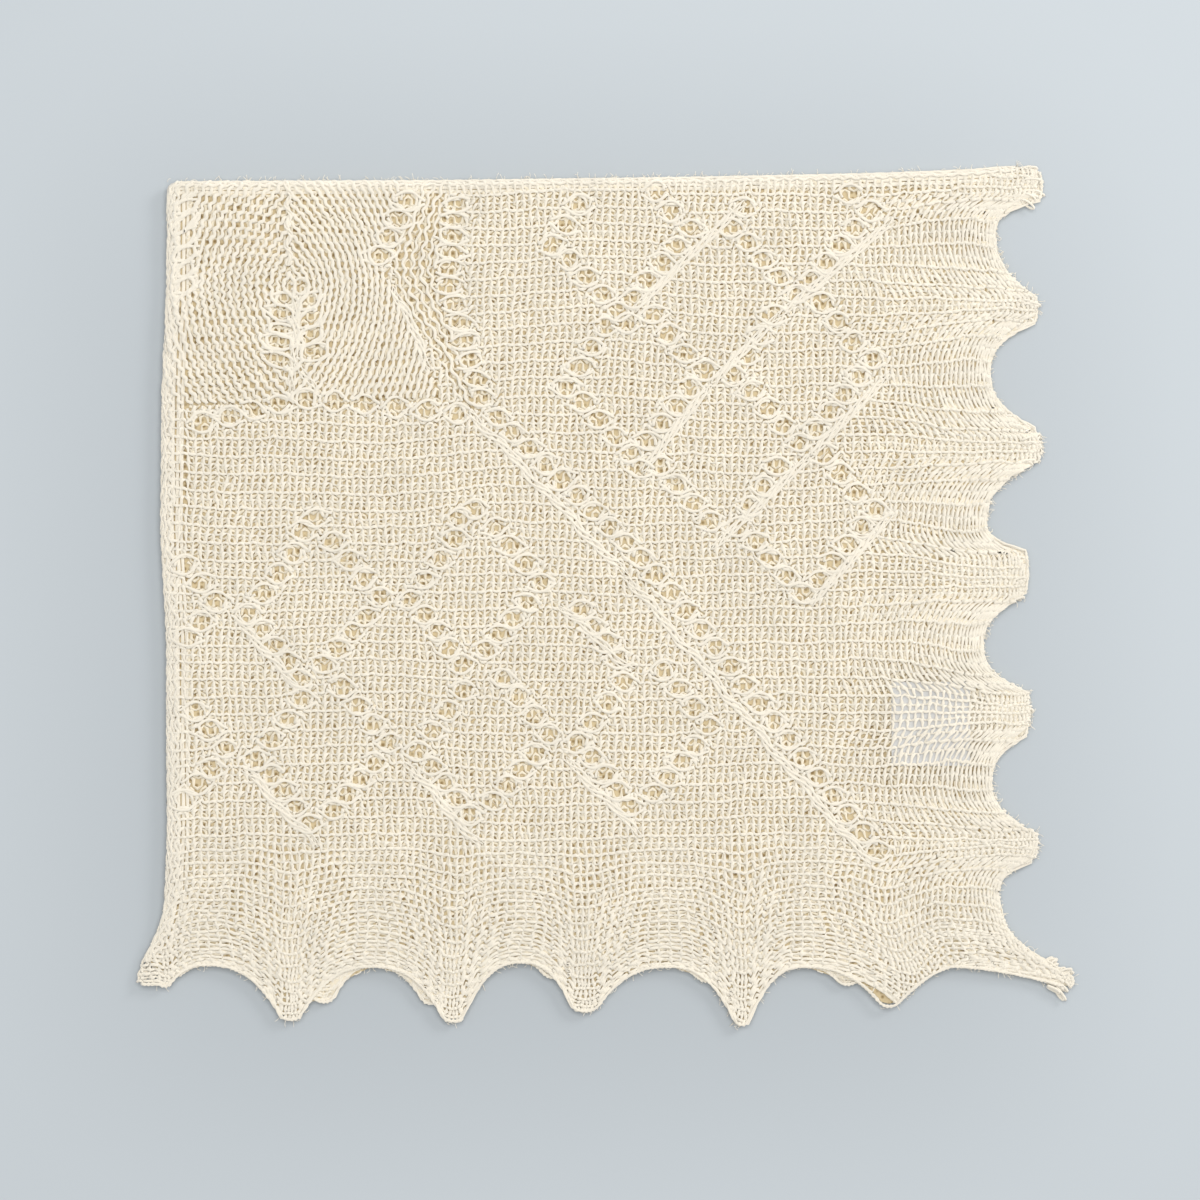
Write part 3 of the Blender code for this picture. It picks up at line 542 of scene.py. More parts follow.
def drape(x, y, lift, sink):
    """Points, outward normals, and which are past the wrap, of cloth bent round the folds.

    The cloth's middle is at plan places x, y, and each point is lift above it. A fold's section is a quarter
    of an ellipse, out_r wide and down_r high, that goes on below."""
    start_x = left_edge(y) + LEFT_ROUND
    start_y = top_edge(x) - TOP_ROUND
    over_x = np.maximum(start_x - x, 0.0)
    over_y = np.maximum(y - start_y, 0.0)
    over = np.hypot(over_x, over_y)
    top_share = np.where(over > 0.0, over_y / np.maximum(over, TINY), 0.0)
    left_share = np.where(over > 0.0, over_x / np.maximum(over, TINY), 0.0)
    base_x, base_y = x + over_x, y - over_y
    height = stack_height(base_x, base_y)
    rounding = 1.0 / np.sqrt((left_share / LEFT_ROUND) ** 2 + (top_share / TOP_ROUND) ** 2 + 1e-12)
    rounding = np.minimum(rounding, LEFT_ROUND)
    drop = np.maximum(height * (LEFT_DROP + (TOP_DROP - LEFT_DROP) * top_share ** 2), LEAST_DROP)
    out_r = rounding - sink
    down_r = np.maximum(drop - sink, LEAST_DOWN)
    quarter = math.pi / 4.0 * (1.5 * (out_r + down_r) - np.sqrt(out_r * down_r)) * QUARTER_SPARE
    angle = over / quarter * math.pi / 2.0
    beyond = angle > np.radians(LEFT_WRAP + (TOP_WRAP - LEFT_WRAP) * top_share ** 2)
    out = np.sin(angle) * (out_r + lift)
    fall = drop - np.cos(angle) * (down_r + lift)
    px = base_x - left_share * out
    py = base_y + top_share * out
    pz = stack_height(px, py) + label_lift(px, py) - fall
    normal = np.stack([-left_share * np.sin(angle), top_share * np.sin(angle), np.cos(angle)], axis=-1)
    pz = np.where(over <= 0.0, height + label_lift(x, y) - sink + lift, pz)
    return np.stack([px, py, pz], axis=-1), normal, beyond


# Eyelets open the net.

def line_places(x0, y0, x1, y1, count):
    for k in range(count):
        t = k / max(count - 1, 1)
        yield x0 + (x1 - x0) * t, y0 + (y1 - y0) * t


def eyelets():
    """(x, y, half-width, half-height, tilt in degrees) of each eyelet."""
    places = []
    for diamonds, sides in ((RIGHT_DIAMONDS, RIGHT_SIDES), (BOTTOM_DIAMONDS, BOTTOM_SIDES)):
        for middle_x, middle_y, *knitted in diamonds:
            for side, *line in sides:
                if side in knitted or not knitted:
                    places += [(middle_x + x, middle_y + y, *EYELET, 0.0) for x, y in line_places(*line)]
    for lines, size in ((PLAIN_LINES, EYELET), (LADDER_LINES, LADDER_EYELET)):
        for line in lines:
            places += [(x, y, *size, 0.0) for x, y in line_places(*line)]
    places = [p for p in places if p[0] - p[2] > FIRST_EYELET and p[1] + p[3] < 0.0]
    ladder_x, first_y, last_y, count, tilt = LEFT_LADDER
    places += [(ladder_x, y, *LEAF_EYELET, tilt) for x, y in line_places(0.0, first_y, 0.0, last_y, count)]
    return places + list(LEAF_EYELETS)


EYELETS = np.array(eyelets())
EYELETS[:, 2:4] *= random.uniform(*EYELET_SIZES, (len(EYELETS), 2))
EYELETS[:, 4] += random.uniform(-EYELET_TILT, EYELET_TILT, len(EYELETS))


def open_eyelets(x, y, leg):
    """Moves plan places out of the eyelets: legs part sideways and the rest goes over or under."""
    for ex, ey, half_w, half_h, tilt in EYELETS:
        near = (np.abs(x - ex) < half_w + FLOW_REACH) & (np.abs(y - ey) < half_w + FLOW_REACH)
        if not near.any():
            continue
        dx, dy = turned(x[near] - ex, y[near] - ey, -tilt)
        level = np.maximum(0.0, 1.0 - (dy / half_h) ** 2)
        fade = 1.0 - ease((np.abs(dx) - half_w) / FLOW_REACH)
        beside = np.where(dx < 0.0, -1.0, 1.0) * np.sqrt(dx ** 2 + half_w ** 2 * level * fade)
        upright = np.maximum(0.0, 1.0 - (dx / half_w) ** 2)
        fade = 1.0 - ease((np.abs(dy) - half_h) / half_h)
        above = np.where(dy < 0.0, -1.0, 1.0) * np.sqrt(dy ** 2 + half_h ** 2 * upright * fade)
        dx = dx + (beside - dx) * leg[near]
        dy = dy + (above - dy) * (1.0 - leg[near])
        away = np.maximum(np.hypot(dx / half_w, dy / half_h), LEAST_AWAY)
        out = np.maximum(1.0, RIM / away)
        dx, dy = turned(dx * out, dy * out, tilt)
        x[near], y[near] = ex + dx, ey + dy
    return x, y


def parted(x, y, leg):
    """Plan places moved out of the eyelets, and smoothed where they were moved."""
    new_x, new_y = open_eyelets(x.copy(), y.copy(), leg)
    moved = np.clip(np.hypot(new_x - x, new_y - y) / FULLY_MOVED, 0.0, 1.0)
    moved[[0, -1]] = 0.0
    for _ in range(2):
        for line in (new_x, new_y):
            line[1:-1] += moved[1:-1] * (line[:-2] + line[2:] - 2.0 * line[1:-1]) / 4.0
    return new_x, new_y


def clear_of_eyelets(x, y):
    """False for each point of a path that is reached by a jump over an eyelet."""
    mid_x, mid_y = (x[1:] + x[:-1]) / 2.0, (y[1:] + y[:-1]) / 2.0
    clear = np.ones(len(x), dtype=bool)
    for ex, ey, half_w, half_h, tilt in EYELETS:
        dx, dy = turned(mid_x - ex, mid_y - ey, -tilt)
        clear[1:] &= np.hypot(dx / half_w, dy / half_h) >= CROSSING
    return clear


# Yarn.

def course(first, last, row, side, steps):
    """One row of garter loops: wale, row, lift and uprightness of each point of the yarn.

    Side is 1 or -1, as the loops' heads lie on the front or on the back."""
    turns = np.linspace(first, last, int(round((last - first) * steps)) + 1)
    t = math.tau * turns
    rise = LOOP_HALF * np.sign(np.cos(t)) * np.abs(np.cos(t)) ** LOOP_SQUARE
    u = turns + LOOP_SWING * np.sin(2.0 * t) + LEG_BOW / WALE * np.sin(t) * np.cos(math.tau * rise)
    lift = side * np.cos(3.0 * t)
    return u, row - rise, np.where(lift > 0.0, LOOP_FRONT, LOOP_BACK) * lift, np.sin(t) ** 2


JITTER_GRID = random.normal(0.0, JITTER, (2, *JITTER_SIZE))


def jitter(u, v):
    """A small uneven shift of the plan place, the same for all the yarn at one spot."""
    rows, wales = JITTER_SIZE
    v = np.clip(v + JITTER_BEFORE[0], 0.0, rows - 2.1)
    u = np.clip(u + JITTER_BEFORE[1], 0.0, wales - 2.1)
    a, b = np.floor(v).astype(int), np.floor(u).astype(int)
    s, t = v - a, u - b
    grid = JITTER_GRID
    return (grid[:, a, b] * (1 - s) * (1 - t) + grid[:, a + 1, b] * s * (1 - t)
            + grid[:, a, b + 1] * (1 - s) * t + grid[:, a + 1, b + 1] * s * t)


def split(keep, *arrays):
    """Cuts arrays into the runs where keep is true."""
    edges = np.flatnonzero(np.diff(np.concatenate([[0], keep.astype(int), [0]])))
    return [tuple(a[s:e] for a in arrays) for s, e in zip(edges[::2], edges[1::2]) if e - s >= LEAST_POINTS]


def unit(vectors):
    return vectors / np.maximum(np.linalg.norm(vectors, axis=1, keepdims=True), TINY)


def tube(points, normals, radius, sides, flatness):
    """Corners and faces of a closed tube along points, with a radius at each and a flat side on top."""
    along = np.gradient(points, axis=0)
    across = unit(np.cross(along, normals))
    up = flatness * unit(np.cross(across, along))
    turn = math.tau * (np.arange(sides) - 0.5) / sides + math.pi / 2.0
    ring = np.cos(turn)[None, :, None] * across[:, None, :] + np.sin(turn)[None, :, None] * up[:, None, :]
    corners = (points[:, None, :] + radius[:, None, None] * ring).reshape(-1, 3)
    last = (len(points) - 1) * sides
    this = np.arange(0, last, sides)[:, None] + np.arange(sides)
    beside = np.roll(this, -1, axis=1)
    faces = np.stack([this, beside, beside + sides, this + sides], axis=-1).reshape(-1, 4)
    return corners, faces, [list(range(sides))[::-1], list(range(last, last + sides))]


def add_object(name, data):
    obj = bpy.data.objects.new(name, data)
    bpy.context.collection.objects.link(obj)
    return obj


def yarn_object(name, runs, radius, sides, flatness):
    """One mesh of closed tubes. Each run is (points, normals, widths as shares of the radius)."""
    corners, faces, rounded, start = [], [], [], 0
    for points, normals, width in runs:
        ring_corners, walls, caps = tube(points, normals, radius * width, sides, flatness)
        corners.append(ring_corners)
        faces += (walls + start).tolist()
        faces += [[start + i for i in cap] for cap in caps]
        rounded += [True] * len(walls) + [False] * len(caps)
        start += len(ring_corners)
    corners = (np.concatenate(corners) + SHIFT) * MM
    mesh = bpy.data.meshes.new(name)
    mesh.from_pydata(corners.tolist(), [], faces)
    mesh.polygons.foreach_set("use_smooth", rounded)
    return add_object(name, mesh)


def draped(x, y, lift, sink=NET_SINK, thick=1.0):
    """Runs of yarn along a plan path, where the net covers it."""
    points, normals, beyond = drape(x, y, lift, sink)
    width = thick * (1.0 - (1.0 - BACK_WIDTH) * np.clip(-lift / LOOP_BACK, 0.0, 1.0))
    width = width * (1.0 + UNEVEN * np.sin(np.arange(len(x)) * UNEVEN_TURN + random.uniform(0.0, math.tau)))
    runs = []
    for points, normals, width in split(~beyond, points, normals, width):
        apart = np.linalg.norm(np.diff(points, axis=0), axis=1) > LEAST_STEP
        keep = np.concatenate([[True], apart])
        points, normals, width = points[keep], normals[keep], width[keep]
        if len(points) >= LEAST_POINTS:
            step = unit(np.diff(points, axis=0))
            turned = np.sum(step[1:] * step[:-1], axis=1) < SHARPEST_TURN
            keep = np.concatenate([[True], ~turned, [True]])
            runs.append((points[keep], normals[keep], width[keep]))
    return runs


def laid(x, y, lift, leg, keep, sink=NET_SINK, holes=True):
    """Runs of yarn along a plan path on the folded surface, where keep is true, parted at the eyelets."""
    runs = []
    for x, y, lift, leg in split(keep, x, y, lift, leg):
        clear = np.ones(len(x), dtype=bool)
        if holes:
            x, y = parted(x, y, leg)
            clear = clear_of_eyelets(x, y)
        for run in split(clear, x, y, lift):
            runs += draped(*run, sink)
    return runs


def knit_course(place, first, last, row, keep_plan, steps=STEPS, sink=NET_SINK, holes=True):
    """The runs of one course of yarn. Its loops lie in front in every second row."""
    u, v, lift, leg = course(first, last, row, 1.0 if row % 2 else -1.0, steps)
    x, y = place(u, v) + jitter(u, v)
    return laid(x, y, lift, leg, keep_plan(x, y), sink, holes)


# The top quarter's net.

def medallion_yarn():
    """The wavy strands of the medallion."""
    runs = []
    for side, count in zip((-1.0, 1.0), RING_COUNTS):
        for number in range(1, count + 1):
            x, y, lift = ring_strand(side, number)
            x, y = (x, y) + RING_JITTER * jitter(x / WALE, -y / ROW)
            keep = inside(MEDALLION, x, y) & (side * (x - RING_MIDDLE[0]) > -RING_OVERLAP) & in_cloth(x, y)
            runs += laid(x, y, lift, np.full(len(x), STRAND_LEG), keep)
    return runs


def side_yarn():
    """The wide wavy wales between the medallion and the ladder of eyelets."""
    runs = []
    spine = [(y, x) for x, y in SIDE_SPINE[::-1]]
    y = np.arange(spine[0][0], spine[-1][0], SIDE_ROW / SIDE_STEPS)
    middle = smooth_curve(spine, SIDE_SMOOTHING)(y)
    for number in range(SIDE_WALES):
        sign = 1.0 if number % 2 else -1.0
        x = middle + SIDE_INSET + SIDE_STEP * number + sign * SIDE_WAVE * np.cos(y / SIDE_ROW * math.tau)
        lift, leg = np.full(len(x), SIDE_LIFT * sign), np.full(len(x), STRAND_LEG)
        runs += laid(*((x, y) + jitter(x / WALE, -y / ROW)), lift, leg, inside(SIDE_REGION, x, y))
    return runs


def top_net():
    """Bands of the top quarter's net, and its medallion."""
    bands = []
    for start in NET_ROWS[::BAND_ROWS]:
        runs = []
        for row in range(start, min(start + BAND_ROWS, NET_ROWS.stop)):
            runs += knit_course(field, *NET_WALES, row, plain_field)
        bands.append(yarn_object(f"net_rows_{len(bands) + 1}", runs, *NET_YARN))
    bands.append(yarn_object("net_medallion", medallion_yarn(), *RING_YARN))
    bands.append(yarn_object("net_side_wales", side_yarn(), *NET_YARN))
    return bands


def eyelet_rims():
    """The rows parted by each eyelet: a strand over it and one under it, that run back into the rows."""
    runs = []
    for ex, ey, half_w, half_h, tilt in EYELETS:
        for over in (1.0, -1.0):
            reach = half_w * random.uniform(*RIM_LENGTHS, 2) * (WIDE_SHARE if half_w > WIDE_EYELET else 1.0)
            dx = np.arange(-reach[0], reach[1], RIM_STEP)
            lean = random.normal(0.0, RIM_LEAN)
            dy = over * RIM_OVER * half_h / (1.0 + np.abs(dx / half_w / RIM_BESIDE) ** RIM_POWER) + lean * dx
            off_x, off_y = turned(dx, dy, tilt)
            x, y = ex + off_x, ey + off_y
            keep = in_cloth(x, y) & (x > 1.0) & (y < 3.0)
            for run in split(keep, x, y, 0.15 + 0.35 * np.cos(dx / half_w)):
                runs += draped(*run)
    return yarn_object("eyelet_rims", runs, *RIM_YARN)


def twisted(path, pitch, swing, strands, radius_lift):
    """Runs of strands twisted along a plan path of (x, y) points 1.5 mm apart or so."""
    along = np.gradient(path, axis=0)
    length = path_length(*path.T)
    across = unit(np.stack([-along[:, 1], along[:, 0]], axis=-1))
    runs = []
    for k in range(strands):
        turn = length / pitch * math.tau + math.tau * k / strands + 0.5 * np.sin(length / 17.0)
        side = path + across * (swing * np.sin(turn))[:, None]
        runs.append((side[:, 0], side[:, 1], radius_lift * (0.5 + 0.5 * np.cos(turn))))
    return runs


def inside_left(s, inset):
    return left_edge(s) + inset, s


def inside_top(s, inset):
    return s, top_edge(s) - inset


def fold_strands():
    """The strands that run along the two folds, where the net is bent and its stitches close up."""
    runs = []
    for place, span, insets in ((inside_left, LEFT_SPAN, LEFT_FILL), (inside_top, TOP_SPAN, TOP_FILL)):
        s = np.arange(*span, FILL_STEP)
        for inset in insets:
            runs += draped(*place(s, inset), FILL_LIFT, thick=FILL_WIDTH)
    for place, span, strands, slow_wave in ((inside_left, LEFT_SPAN, LEFT_FOLD_STRANDS, 43.0),
                                            (inside_top, TOP_SPAN, TOP_FOLD_STRANDS, 47.0)):
        s = np.arange(*span, FOLD_STEP)
        for inset, swing, wave in strands:
            turn = s / wave * math.tau
            uneven_turn = turn + random.uniform(0.0, math.tau) + 1.5 * np.sin(s / slow_wave)
            x, y = place(s, inset + swing * np.sin(uneven_turn))
            runs += draped(x, y, 0.1 + 0.2 * np.cos(turn), thick=FOLD_WIDTH)
    return yarn_object("fold_strands", runs, *NET_YARN)


def straight_path(x0, y0, x1, y1):
    count = max(int(math.hypot(x1 - x0, y1 - y0) / PATH_STEP), LEAST_POINTS)
    return np.array(list(line_places(x0, y0, x1, y1, count)))


def rib_yarns():
    """Twisted strands along each line of decreases, over the leaf and across the left ladder."""
    runs = []
    for x0, y0, x1, y1 in RIBS:
        path = straight_path(x0, y0, x1, y1)
        place = PATH_STEP * np.arange(len(path))
        path = path + 0.6 * np.sin(place / 7.0 + x0)[:, None] + 0.4 * np.sin(place / 3.1 + y0)[:, None]
        end = np.minimum(place, place[-1] - place)
        taper = RIB_END + (1.0 - RIB_END) * ease(end / RIB_TAPER)
        for x, y, lift in twisted(path, *RIB_TWIST):
            runs += draped(x, y, lift + 0.05, thick=taper)
    middle, first, last, swing, wave = TOP_RIB
    y = np.arange(first, last, -1.3)
    path = np.stack([middle + swing * np.sin(y / wave * math.tau), y], axis=-1)
    for x, y, lift in twisted(path, *TOP_RIB_TWIST):
        runs += draped(x, y, lift + 0.2)
    ladder_x, first_y, last_y, count, tilt = LEFT_LADDER
    for x, y in line_places(0.0, first_y + 4.5, 0.0, last_y - 4.5, count + 1):
        path = straight_path(ladder_x - 6.0, y - 4.0, ladder_x + 7.0, y + 4.5)
        for run in twisted(path, *LADDER_TWIST):
            runs += draped(*run)
    return yarn_object("decrease_ribs", runs, *RIB_YARN)


# The layers below.

def stack_top(x, y):
    return float(stack_height(np.array(x), np.array(y)))


def lower_layers():
    """The hidden layers' form, a little lower on top, where the second layer's net lies."""
    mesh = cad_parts["folded_layers"].data.copy()
    mesh.name = "lower_layers"
    mesh.materials.clear()
    for vertex in mesh.vertices:
        x, y, z = vertex.co / MM
        if z > stack_top(x - SHIFT[0], y - SHIFT[1]) - FORM_DEPTH:
            vertex.co.z -= FORM_SINK * MM
    return add_object("lower_layers", mesh)


lower = lower_layers()
FORM = BVHTree.FromObject(lower, bpy.context.evaluated_depsgraph_get())


def form_top(x, y):
    """Height of the hidden layers' form at a plan place, or None beside it."""
    start = Vector((x + SHIFT[0], y + SHIFT[1], OVERHEAD)) * MM
    hit = FORM.ray_cast(start, Vector((0.0, 0.0, -1.0)))[0]
    return None if hit is None else hit.z / MM


def on_side(along, height, out):
    """The place just outside the side of the hidden layers' form at a height, or None where it has none."""
    far_x, far_y = OUTSIDE[1] if sum(out) > 0.0 else OUTSIDE[0]
    x, y = (along, far_y) if out[1] else (far_x, along)
    start = Vector((x + SHIFT[0], y + SHIFT[1], height)) * MM
    hit = FORM.ray_cast(start, Vector((-out[0], -out[1], 0.0)), OUTSIDE_REACH * MM)[0]
    if hit is None:
        return None
    x, y = (hit[i] / MM - SHIFT[i] + SIDE_STRAND_GAP * out[i] for i in range(2))
    return x, y, height


def laid_on_form(points, normals, width):
    """Moves a run of the second net onto the hidden layers' form, where its top shows."""
    for i, (x, y, z) in enumerate(points):
        top = form_top(x, y)
        if top is not None and normals[i][2] > FACES_UP:
            points[i][2] = top + UNDER_LIFT + UNDER_RELIEF * (z - stack_top(x, y) + UNDER_SINK)
    return points, normals, width


def under_net():
    """The second layer's net, seen through the first, in two bands."""
    bands = []

    def keep(x, y):
        inner = (x > left_edge(y) + UNDER_INSETS[0]) & (y < top_edge(x) - UNDER_INSETS[1])
        return inner & in_cloth(x, y, second_bottom, second_right)

    def place(u, v):
        return field(u + UNDER_SHIFT[0], v + UNDER_SHIFT[1], second_bottom, second_right)

    for first in UNDER_BANDS:
        runs = []
        for row in range(first, first + UNDER_ROWS):
            runs += knit_course(place, *UNDER_WALES, row, keep, UNDER_STEPS, UNDER_SINK, False)
        runs = [laid_on_form(*run) for run in runs]
        bands.append(yarn_object(f"under_net_{len(bands) + 1}", runs, *UNDER_YARN))
    return bands


# The edges.

def flat_run(x, y, z, normal=(0.0, 0.0, 1.0)):
    """A run of yarn through given points, with no fold under it."""
    return np.stack([x, y, z], axis=-1), np.tile(normal, (len(x), 1)), np.ones(len(x))


def hem_ropes():
    """A bound-off rope along the scalloped edges of each layer. The first layer's is at the bottom edge."""
    runs = []
    along, down = np.arange(*BOTTOM_SPAN, ROPE_STEP), np.arange(*RIGHT_SPAN, ROPE_STEP)
    for layer, inset in enumerate(ROPE_INSETS):
        below, right = (second_bottom, second_right) if layer else (bottom_reach, right_reach)
        paths = [np.stack([along, -below(along) + inset], axis=-1)]
        if layer:
            paths.append(np.stack([right(down) - inset, down], axis=-1))
        for path in paths:
            for x, y, lift in twisted(path, *ROPE_TWIST):
                z = stack_height(x, y) * (1.0 - layer / len(ROPE_INSETS)) - ROPE_SINK + lift
                runs.append(flat_run(x, y, np.maximum(z, ROPE_LOWEST)))
    return yarn_object("hem_ropes", runs, *ROPE_YARN)


def flap_runs(x, y, keep):
    """Runs of a strand laid on the hidden layers' form, where keep is true."""
    runs = []
    for x, y in split(keep, x, y):
        tops = [form_top(*place) for place in zip(x, y)]
        runs.append(flat_run(x, y, [BESIDE_FORM if top is None else top + FLAP_LIFT for top in tops]))
    return runs


def edge_strands():
    """The second layer's strands where it shows past the first, and those packed in the cloth's corners."""
    runs = []
    along, down = np.arange(*BOTTOM_SPAN, FLAP_STEP), np.arange(*RIGHT_SPAN, FLAP_STEP)
    for inset in FLAP_INSETS:
        y = -second_bottom(along) + inset + FLAP_SWING * np.sin(along / FLAP_WAVE * math.tau + inset)
        runs += flap_runs(along, y, y < -bottom_reach(along) + FLAP_OVERLAP)
        x = second_right(down) - inset + FLAP_SWING * np.sin(down / FLAP_WAVE * math.tau + inset)
        runs += flap_runs(x, down, x > right_reach(down) - FLAP_OVERLAP)
    for inset in CORNER_INSETS:
        for place, span in ((inside_left, LEFT_CORNER), (inside_top, TOP_CORNER)):
            s = np.arange(*span, FLAP_STEP)
            x, y = place(s, inset + FLAP_SWING * np.sin(s / CORNER_WAVE * math.tau + inset))
            runs.append(flat_run(x, y, np.full(len(s), CORNER_HEIGHT)))
    return yarn_object("edge_strands", runs, *FLAP_YARN)


def side_strands():
    """The lower layers' strands on the sides of the folds and under the hem, where no net reaches down."""
    runs = []
    for first, last, heights, out in SIDE_STRANDS:
        along = np.arange(first, last, SIDE_STRAND_STEP)
        for height in heights:
            z = height + SIDE_STRAND_SWING * np.sin(along / SIDE_STRAND_WAVE * math.tau + height)
            points = [on_side(s, high, out) for s, high in zip(along, z)]
            keep = np.array([point is not None for point in points])
            for i in range(1, len(points)):
                if keep[i] and keep[i - 1]:
                    keep[i] = math.dist(points[i], points[i - 1]) <= LONGEST_STEP
            points = np.array([point or (0.0, 0.0, 0.0) for point in points])
            runs += [flat_run(*run.T, (*out, 0.0)) for (run,) in split(keep, points)]
    return yarn_object("side_strands", runs, *SIDE_YARN)


def tip_loops():
    """Loose loops at the ragged tips, and small ones all down the right edge."""
    runs = []
    t = np.linspace(0.0, math.tau, 15)
    for x0, y0, heading, long, wide in TIP_LOOPS * LOOP_COPIES:
        heading += random.normal(0.0, 18.0)
        along = long * random.uniform(0.45, 0.85) * (1.0 - np.cos(t)) / 2.0
        across = wide * random.uniform(0.15, 0.4) * np.sin(t)
        x, y = turned(along, across, heading)
        x = x0 + x + random.uniform(-3.0, 2.0)
        y = y0 + y + random.uniform(-2.0, 2.0)
        runs.append(flat_run(x, y, random.uniform(1.6, 4.6) + 0.8 * np.sin(t)))
    for start in np.arange(-450.0, 4.0, LOOP_SPACING):
        height = random.uniform(1.2, 4.6)
        y = start + (2.2 + random.uniform(0.0, 1.2)) * t / math.tau + 0.9 * np.sin(t)
        x = right_reach(y) - 2.6 + random.uniform(1.6, 3.4) * (1.0 - np.cos(t)) / 2.0
        runs.append(flat_run(x, y, height + 0.5 * np.sin(t)))
    return yarn_object("tip_loops", runs, *LOOP_YARN)


FIBRE_SHARES = np.linspace(0.0, 1.0, 4)


def fibre(x, y, long, heading, curl):
    """Plan path of one loose fibre."""
    turn = heading + curl * FIBRE_SHARES
    return x + long * np.cumsum(np.cos(turn)) / len(turn), y + long * np.cumsum(np.sin(turn)) / len(turn)


def edge_fibres():
    """Loose fibres that stand out from the edges, half of them from the right one."""
    runs = []
    for _ in range(FIBRES):
        side = random.integers(0, 4)
        at = random.uniform(0.0, 1.0)
        if side < 2:
            y = -460.0 + 460.0 * at
            start, heading = (right_reach(y) - 1.5, y), random.normal(0.0, 0.7)
        elif side == 2:
            x = -5.0 + 510.0 * at
            start, heading = (x, -bottom_reach(x) + 1.5), random.normal(-math.pi / 2.0, 0.7)
        else:
            x = 490.0 * at
            start, heading = (x, top_edge(x) - 1.5), random.normal(math.pi / 2.0, 0.8)
        long, curl = random.uniform(2.5, 5.5), random.normal(0.0, 1.2)
        z = random.uniform(1.0, 4.5) + 1.2 * FIBRE_SHARES
        runs.append(flat_run(*fibre(*start, long, heading, curl), z))
    return yarn_object("edge_fibres", runs, *EDGE_FIBRE)


def top_fibres():
    """Loose fibres that lie across the net and its eyelets."""
    runs = []
    while len(runs) < TOP_FIBRES:
        start = random.uniform(0.0, 495.0), random.uniform(-470.0, 5.0)
        long, heading = random.uniform(4.0, 10.0), random.uniform(0.0, math.tau)
        x, y = fibre(*start, long, heading, random.normal(0.0, 1.5))
        if in_cloth(x, y).all():
            runs += draped(x, y, random.uniform(0.5, 1.1) - 0.5 * FIBRE_SHARES)
    return yarn_object("top_fibres", runs, *TOP_FIBRE)


# Materials and pieces.

def add_node(material, kind, **inputs):
    """A new node of a material, with values for its inputs or the outputs to link to them."""
    node = material.node_tree.nodes.new(kind)
    for name, value in inputs.items():
        if isinstance(value, bpy.types.NodeSocket):
            material.node_tree.links.new(value, node.inputs[name])
        else:
            node.inputs[name].default_value = value
    return node


def matt_material(name, roughness):
    """A material that shines little, its shader, and the object's own coordinates for its textures."""
    material = bpy.data.materials.new(name)
    material.use_nodes = True
    shader = material.node_tree.nodes["Principled BSDF"]
    shader.inputs["Roughness"].default_value = roughness
    shader.inputs["Specular IOR Level"].default_value = 0.2
    return material, shader, add_node(material, "ShaderNodeTexCoord").outputs["Object"]


def colour_by(material, factor, stops, interpolation="LINEAR"):
    """Colours a material by a factor, through a ramp between two stops of place and colour."""
    ramp = add_node(material, "ShaderNodeValToRGB", Fac=factor)
    ramp.color_ramp.interpolation = interpolation
    for element, (position, colour) in zip(ramp.color_ramp.elements, stops):
        element.position = position
        element.color = (*colour, 1.0)
    shader = material.node_tree.nodes["Principled BSDF"]
    material.node_tree.links.new(ramp.outputs["Color"], shader.inputs["Base Color"])


def bare_cloth(name, roughness, sheen):
    """Cloth with fine fibres as its bump, still without a colour."""
    material, shader, place = matt_material(name, roughness)
    shader.inputs["Sheen Weight"].default_value = sheen
    shader.inputs["Diffuse Roughness"].default_value = 1.0
    fibres = add_node(material, "ShaderNodeTexNoise", Vector=place, Scale=2500.0, Detail=3.0)
    bump = add_node(material, "ShaderNodeBump", Height=fibres.outputs["Fac"], Strength=0.6, Distance=0.0003)
    material.node_tree.links.new(bump.outputs["Normal"], shader.inputs["Normal"])
    return material, place


def uneven_cloth(name, colour, roughness, sheen):
    """Cloth of one colour, a little darker in places."""
    material, place = bare_cloth(name, roughness, sheen)
    noise = add_node(material, "ShaderNodeTexNoise", Vector=place, Scale=60.0, Detail=4.0)
    colour_by(material, noise.outputs["Fac"], ((0.3, [c * 0.94 for c in colour]), (0.7, colour)))
    return material


def painted_shade_cloth(name):
    """Cloth painted with the shade of more net under it: a tan tone with painted shadows in its gaps, uneven
    in size and depth.
    """
    material, place = bare_cloth(name, 0.9, 0.0)
    shadow_cells = add_node(material, "ShaderNodeTexVoronoi", Vector=place, Scale=1.0 / PAINTED_SHADOW_SPACING, Randomness=0.7)
    colour_by(material, shadow_cells.outputs["Distance"], ((0.14, PAINTED_SHADOW_DARK), (0.42, PAINTED_SHADE_PALE)))
    return material


wool = uneven_cloth("cream_wool", WOOL, 0.9, 0.3)
# painted shade: a darker, tan copy of the wool for the second layer's net
shaded_wool_below = uneven_cloth("cream_wool_painted_shade_below", WOOL_BELOW_SHADED, 0.9, 0.3)
# painted shade and shadow for the hidden layers' form
wool_painted_shade = painted_shade_cloth("cream_wool_painted_shade")
label_cloth = uneven_cloth("label_weave", LABEL_WHITE, 0.7, 0.1)

pieces = []
for band in top_net():
    band.data.materials.append(wool)
    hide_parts("front_quarter")
    pieces.append(band)
on_net = [eyelet_rims(), rib_yarns(), fold_strands(), top_fibres()]
on_edge = [hem_ropes(), edge_strands(), side_strands(), tip_loops(), edge_fibres()]
for piece in on_net + on_edge:
    piece.data.materials.append(wool)
    pieces.append(piece)
# The second net wears the wool's darker copy, as painted shade.
for band in under_net():
    band.data.materials.append(shaded_wool_below)
    pieces.append(band)
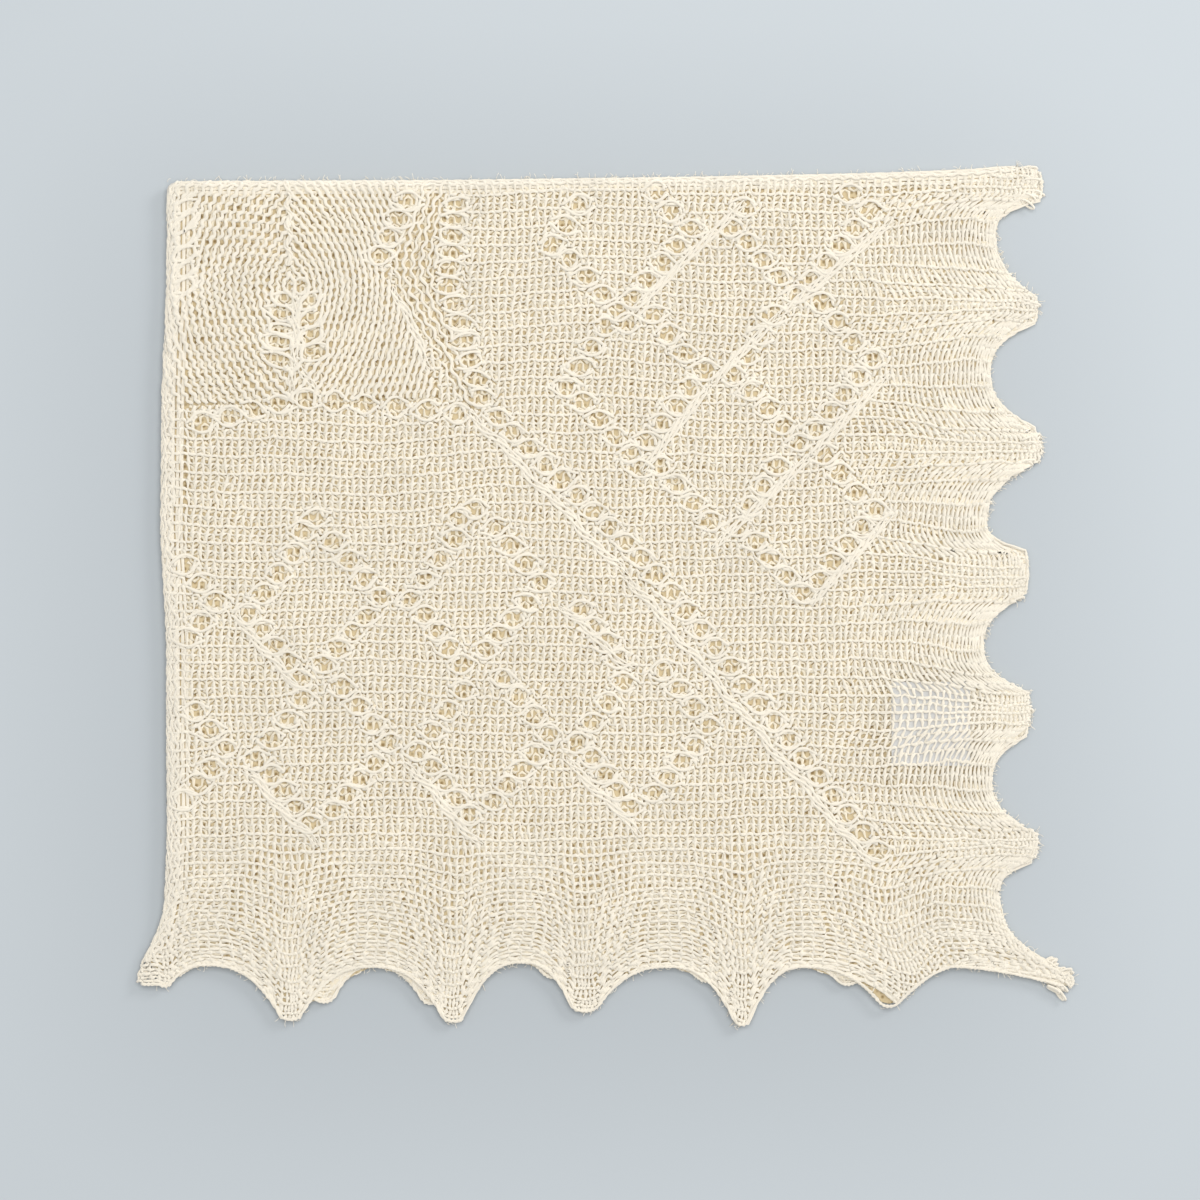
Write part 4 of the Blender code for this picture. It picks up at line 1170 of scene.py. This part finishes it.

# The hidden layers' form carries the painted shade and shadow of the net below the top.
lower.data.materials.append(wool_painted_shade)
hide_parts("folded_layers")
pieces.append(lower)

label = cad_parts["care_label"]
label.data.materials.clear()
label.data.materials.append(label_cloth)

for piece in pieces:
    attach(piece, "root")


# The studio.

def floor_with_painted_shadow():
    """The backdrop, with a painted shadow: it is darker beside the shawl, as its shadow, and paler towards
    the edges of the picture.
    """
    material, _, place = matt_material("studio_floor_painted_shadow", 0.8)
    cell = (PAINTED_SHADOW_CELL, PAINTED_SHADOW_CELL, PAINTED_SHADOW_CELL)
    mapping = add_node(material, "ShaderNodeMapping", Vector=place, Location=PAINTED_SHADOW_MIDDLE, Scale=cell)
    mapping.vector_type = "TEXTURE"
    place = mapping.outputs["Vector"]
    square = add_node(material, "ShaderNodeTexVoronoi", Vector=place, Scale=1.0, Randomness=0.0)
    square.distance = "MINKOWSKI"
    square.inputs["Exponent"].default_value = PAINTED_SHADOW_SQUARENESS
    # painted shadow: the floor's tone darkened beside the shawl
    shadow_tone = [c * PAINTED_SHADOW_SHARE for c in FLOOR_TONE]
    stops = ((PAINTED_SHADOW_NEAR / PAINTED_SHADOW_CELL, shadow_tone), (PAINTED_SHADOW_FAR / PAINTED_SHADOW_CELL, FLOOR_TONE))
    colour_by(material, square.outputs["Distance"], stops, "B_SPLINE")
    return material


bpy.ops.mesh.primitive_plane_add(size=6.0, location=(0.0, 0.0, 0.0))
floor = bpy.context.object
floor.name = "floor"
floor.data.materials.append(floor_with_painted_shadow())

for name, place, size, power in LIGHTS:
    light_data = bpy.data.lights.new(name, "AREA")
    light_data.size = size
    light_data.energy = power
    light = add_object(name, light_data)
    light.location = place
    light.rotation_euler = (-Vector(place)).to_track_quat("-Z", "Y").to_euler()

world = bpy.data.worlds.new("studio")
world.use_nodes = True
sky = world.node_tree.nodes["Background"].inputs
sky["Color"].default_value = (*SKY_TONE, 1.0)
sky["Strength"].default_value = SKY_STRENGTH
bpy.context.scene.world = world
bpy.context.scene.view_settings.view_transform = "Standard"

camera_data = bpy.data.cameras.new("camera")
camera_data.sensor_width = SENSOR_WIDTH
camera_data.lens = SENSOR_WIDTH * CAMERA_HEIGHT / VIEW_FIELD
camera = add_object("camera", camera_data)
camera.location = (*VIEW_MIDDLE, CAMERA_HEIGHT + SHAWL_TOP)
bpy.context.scene.camera = camera
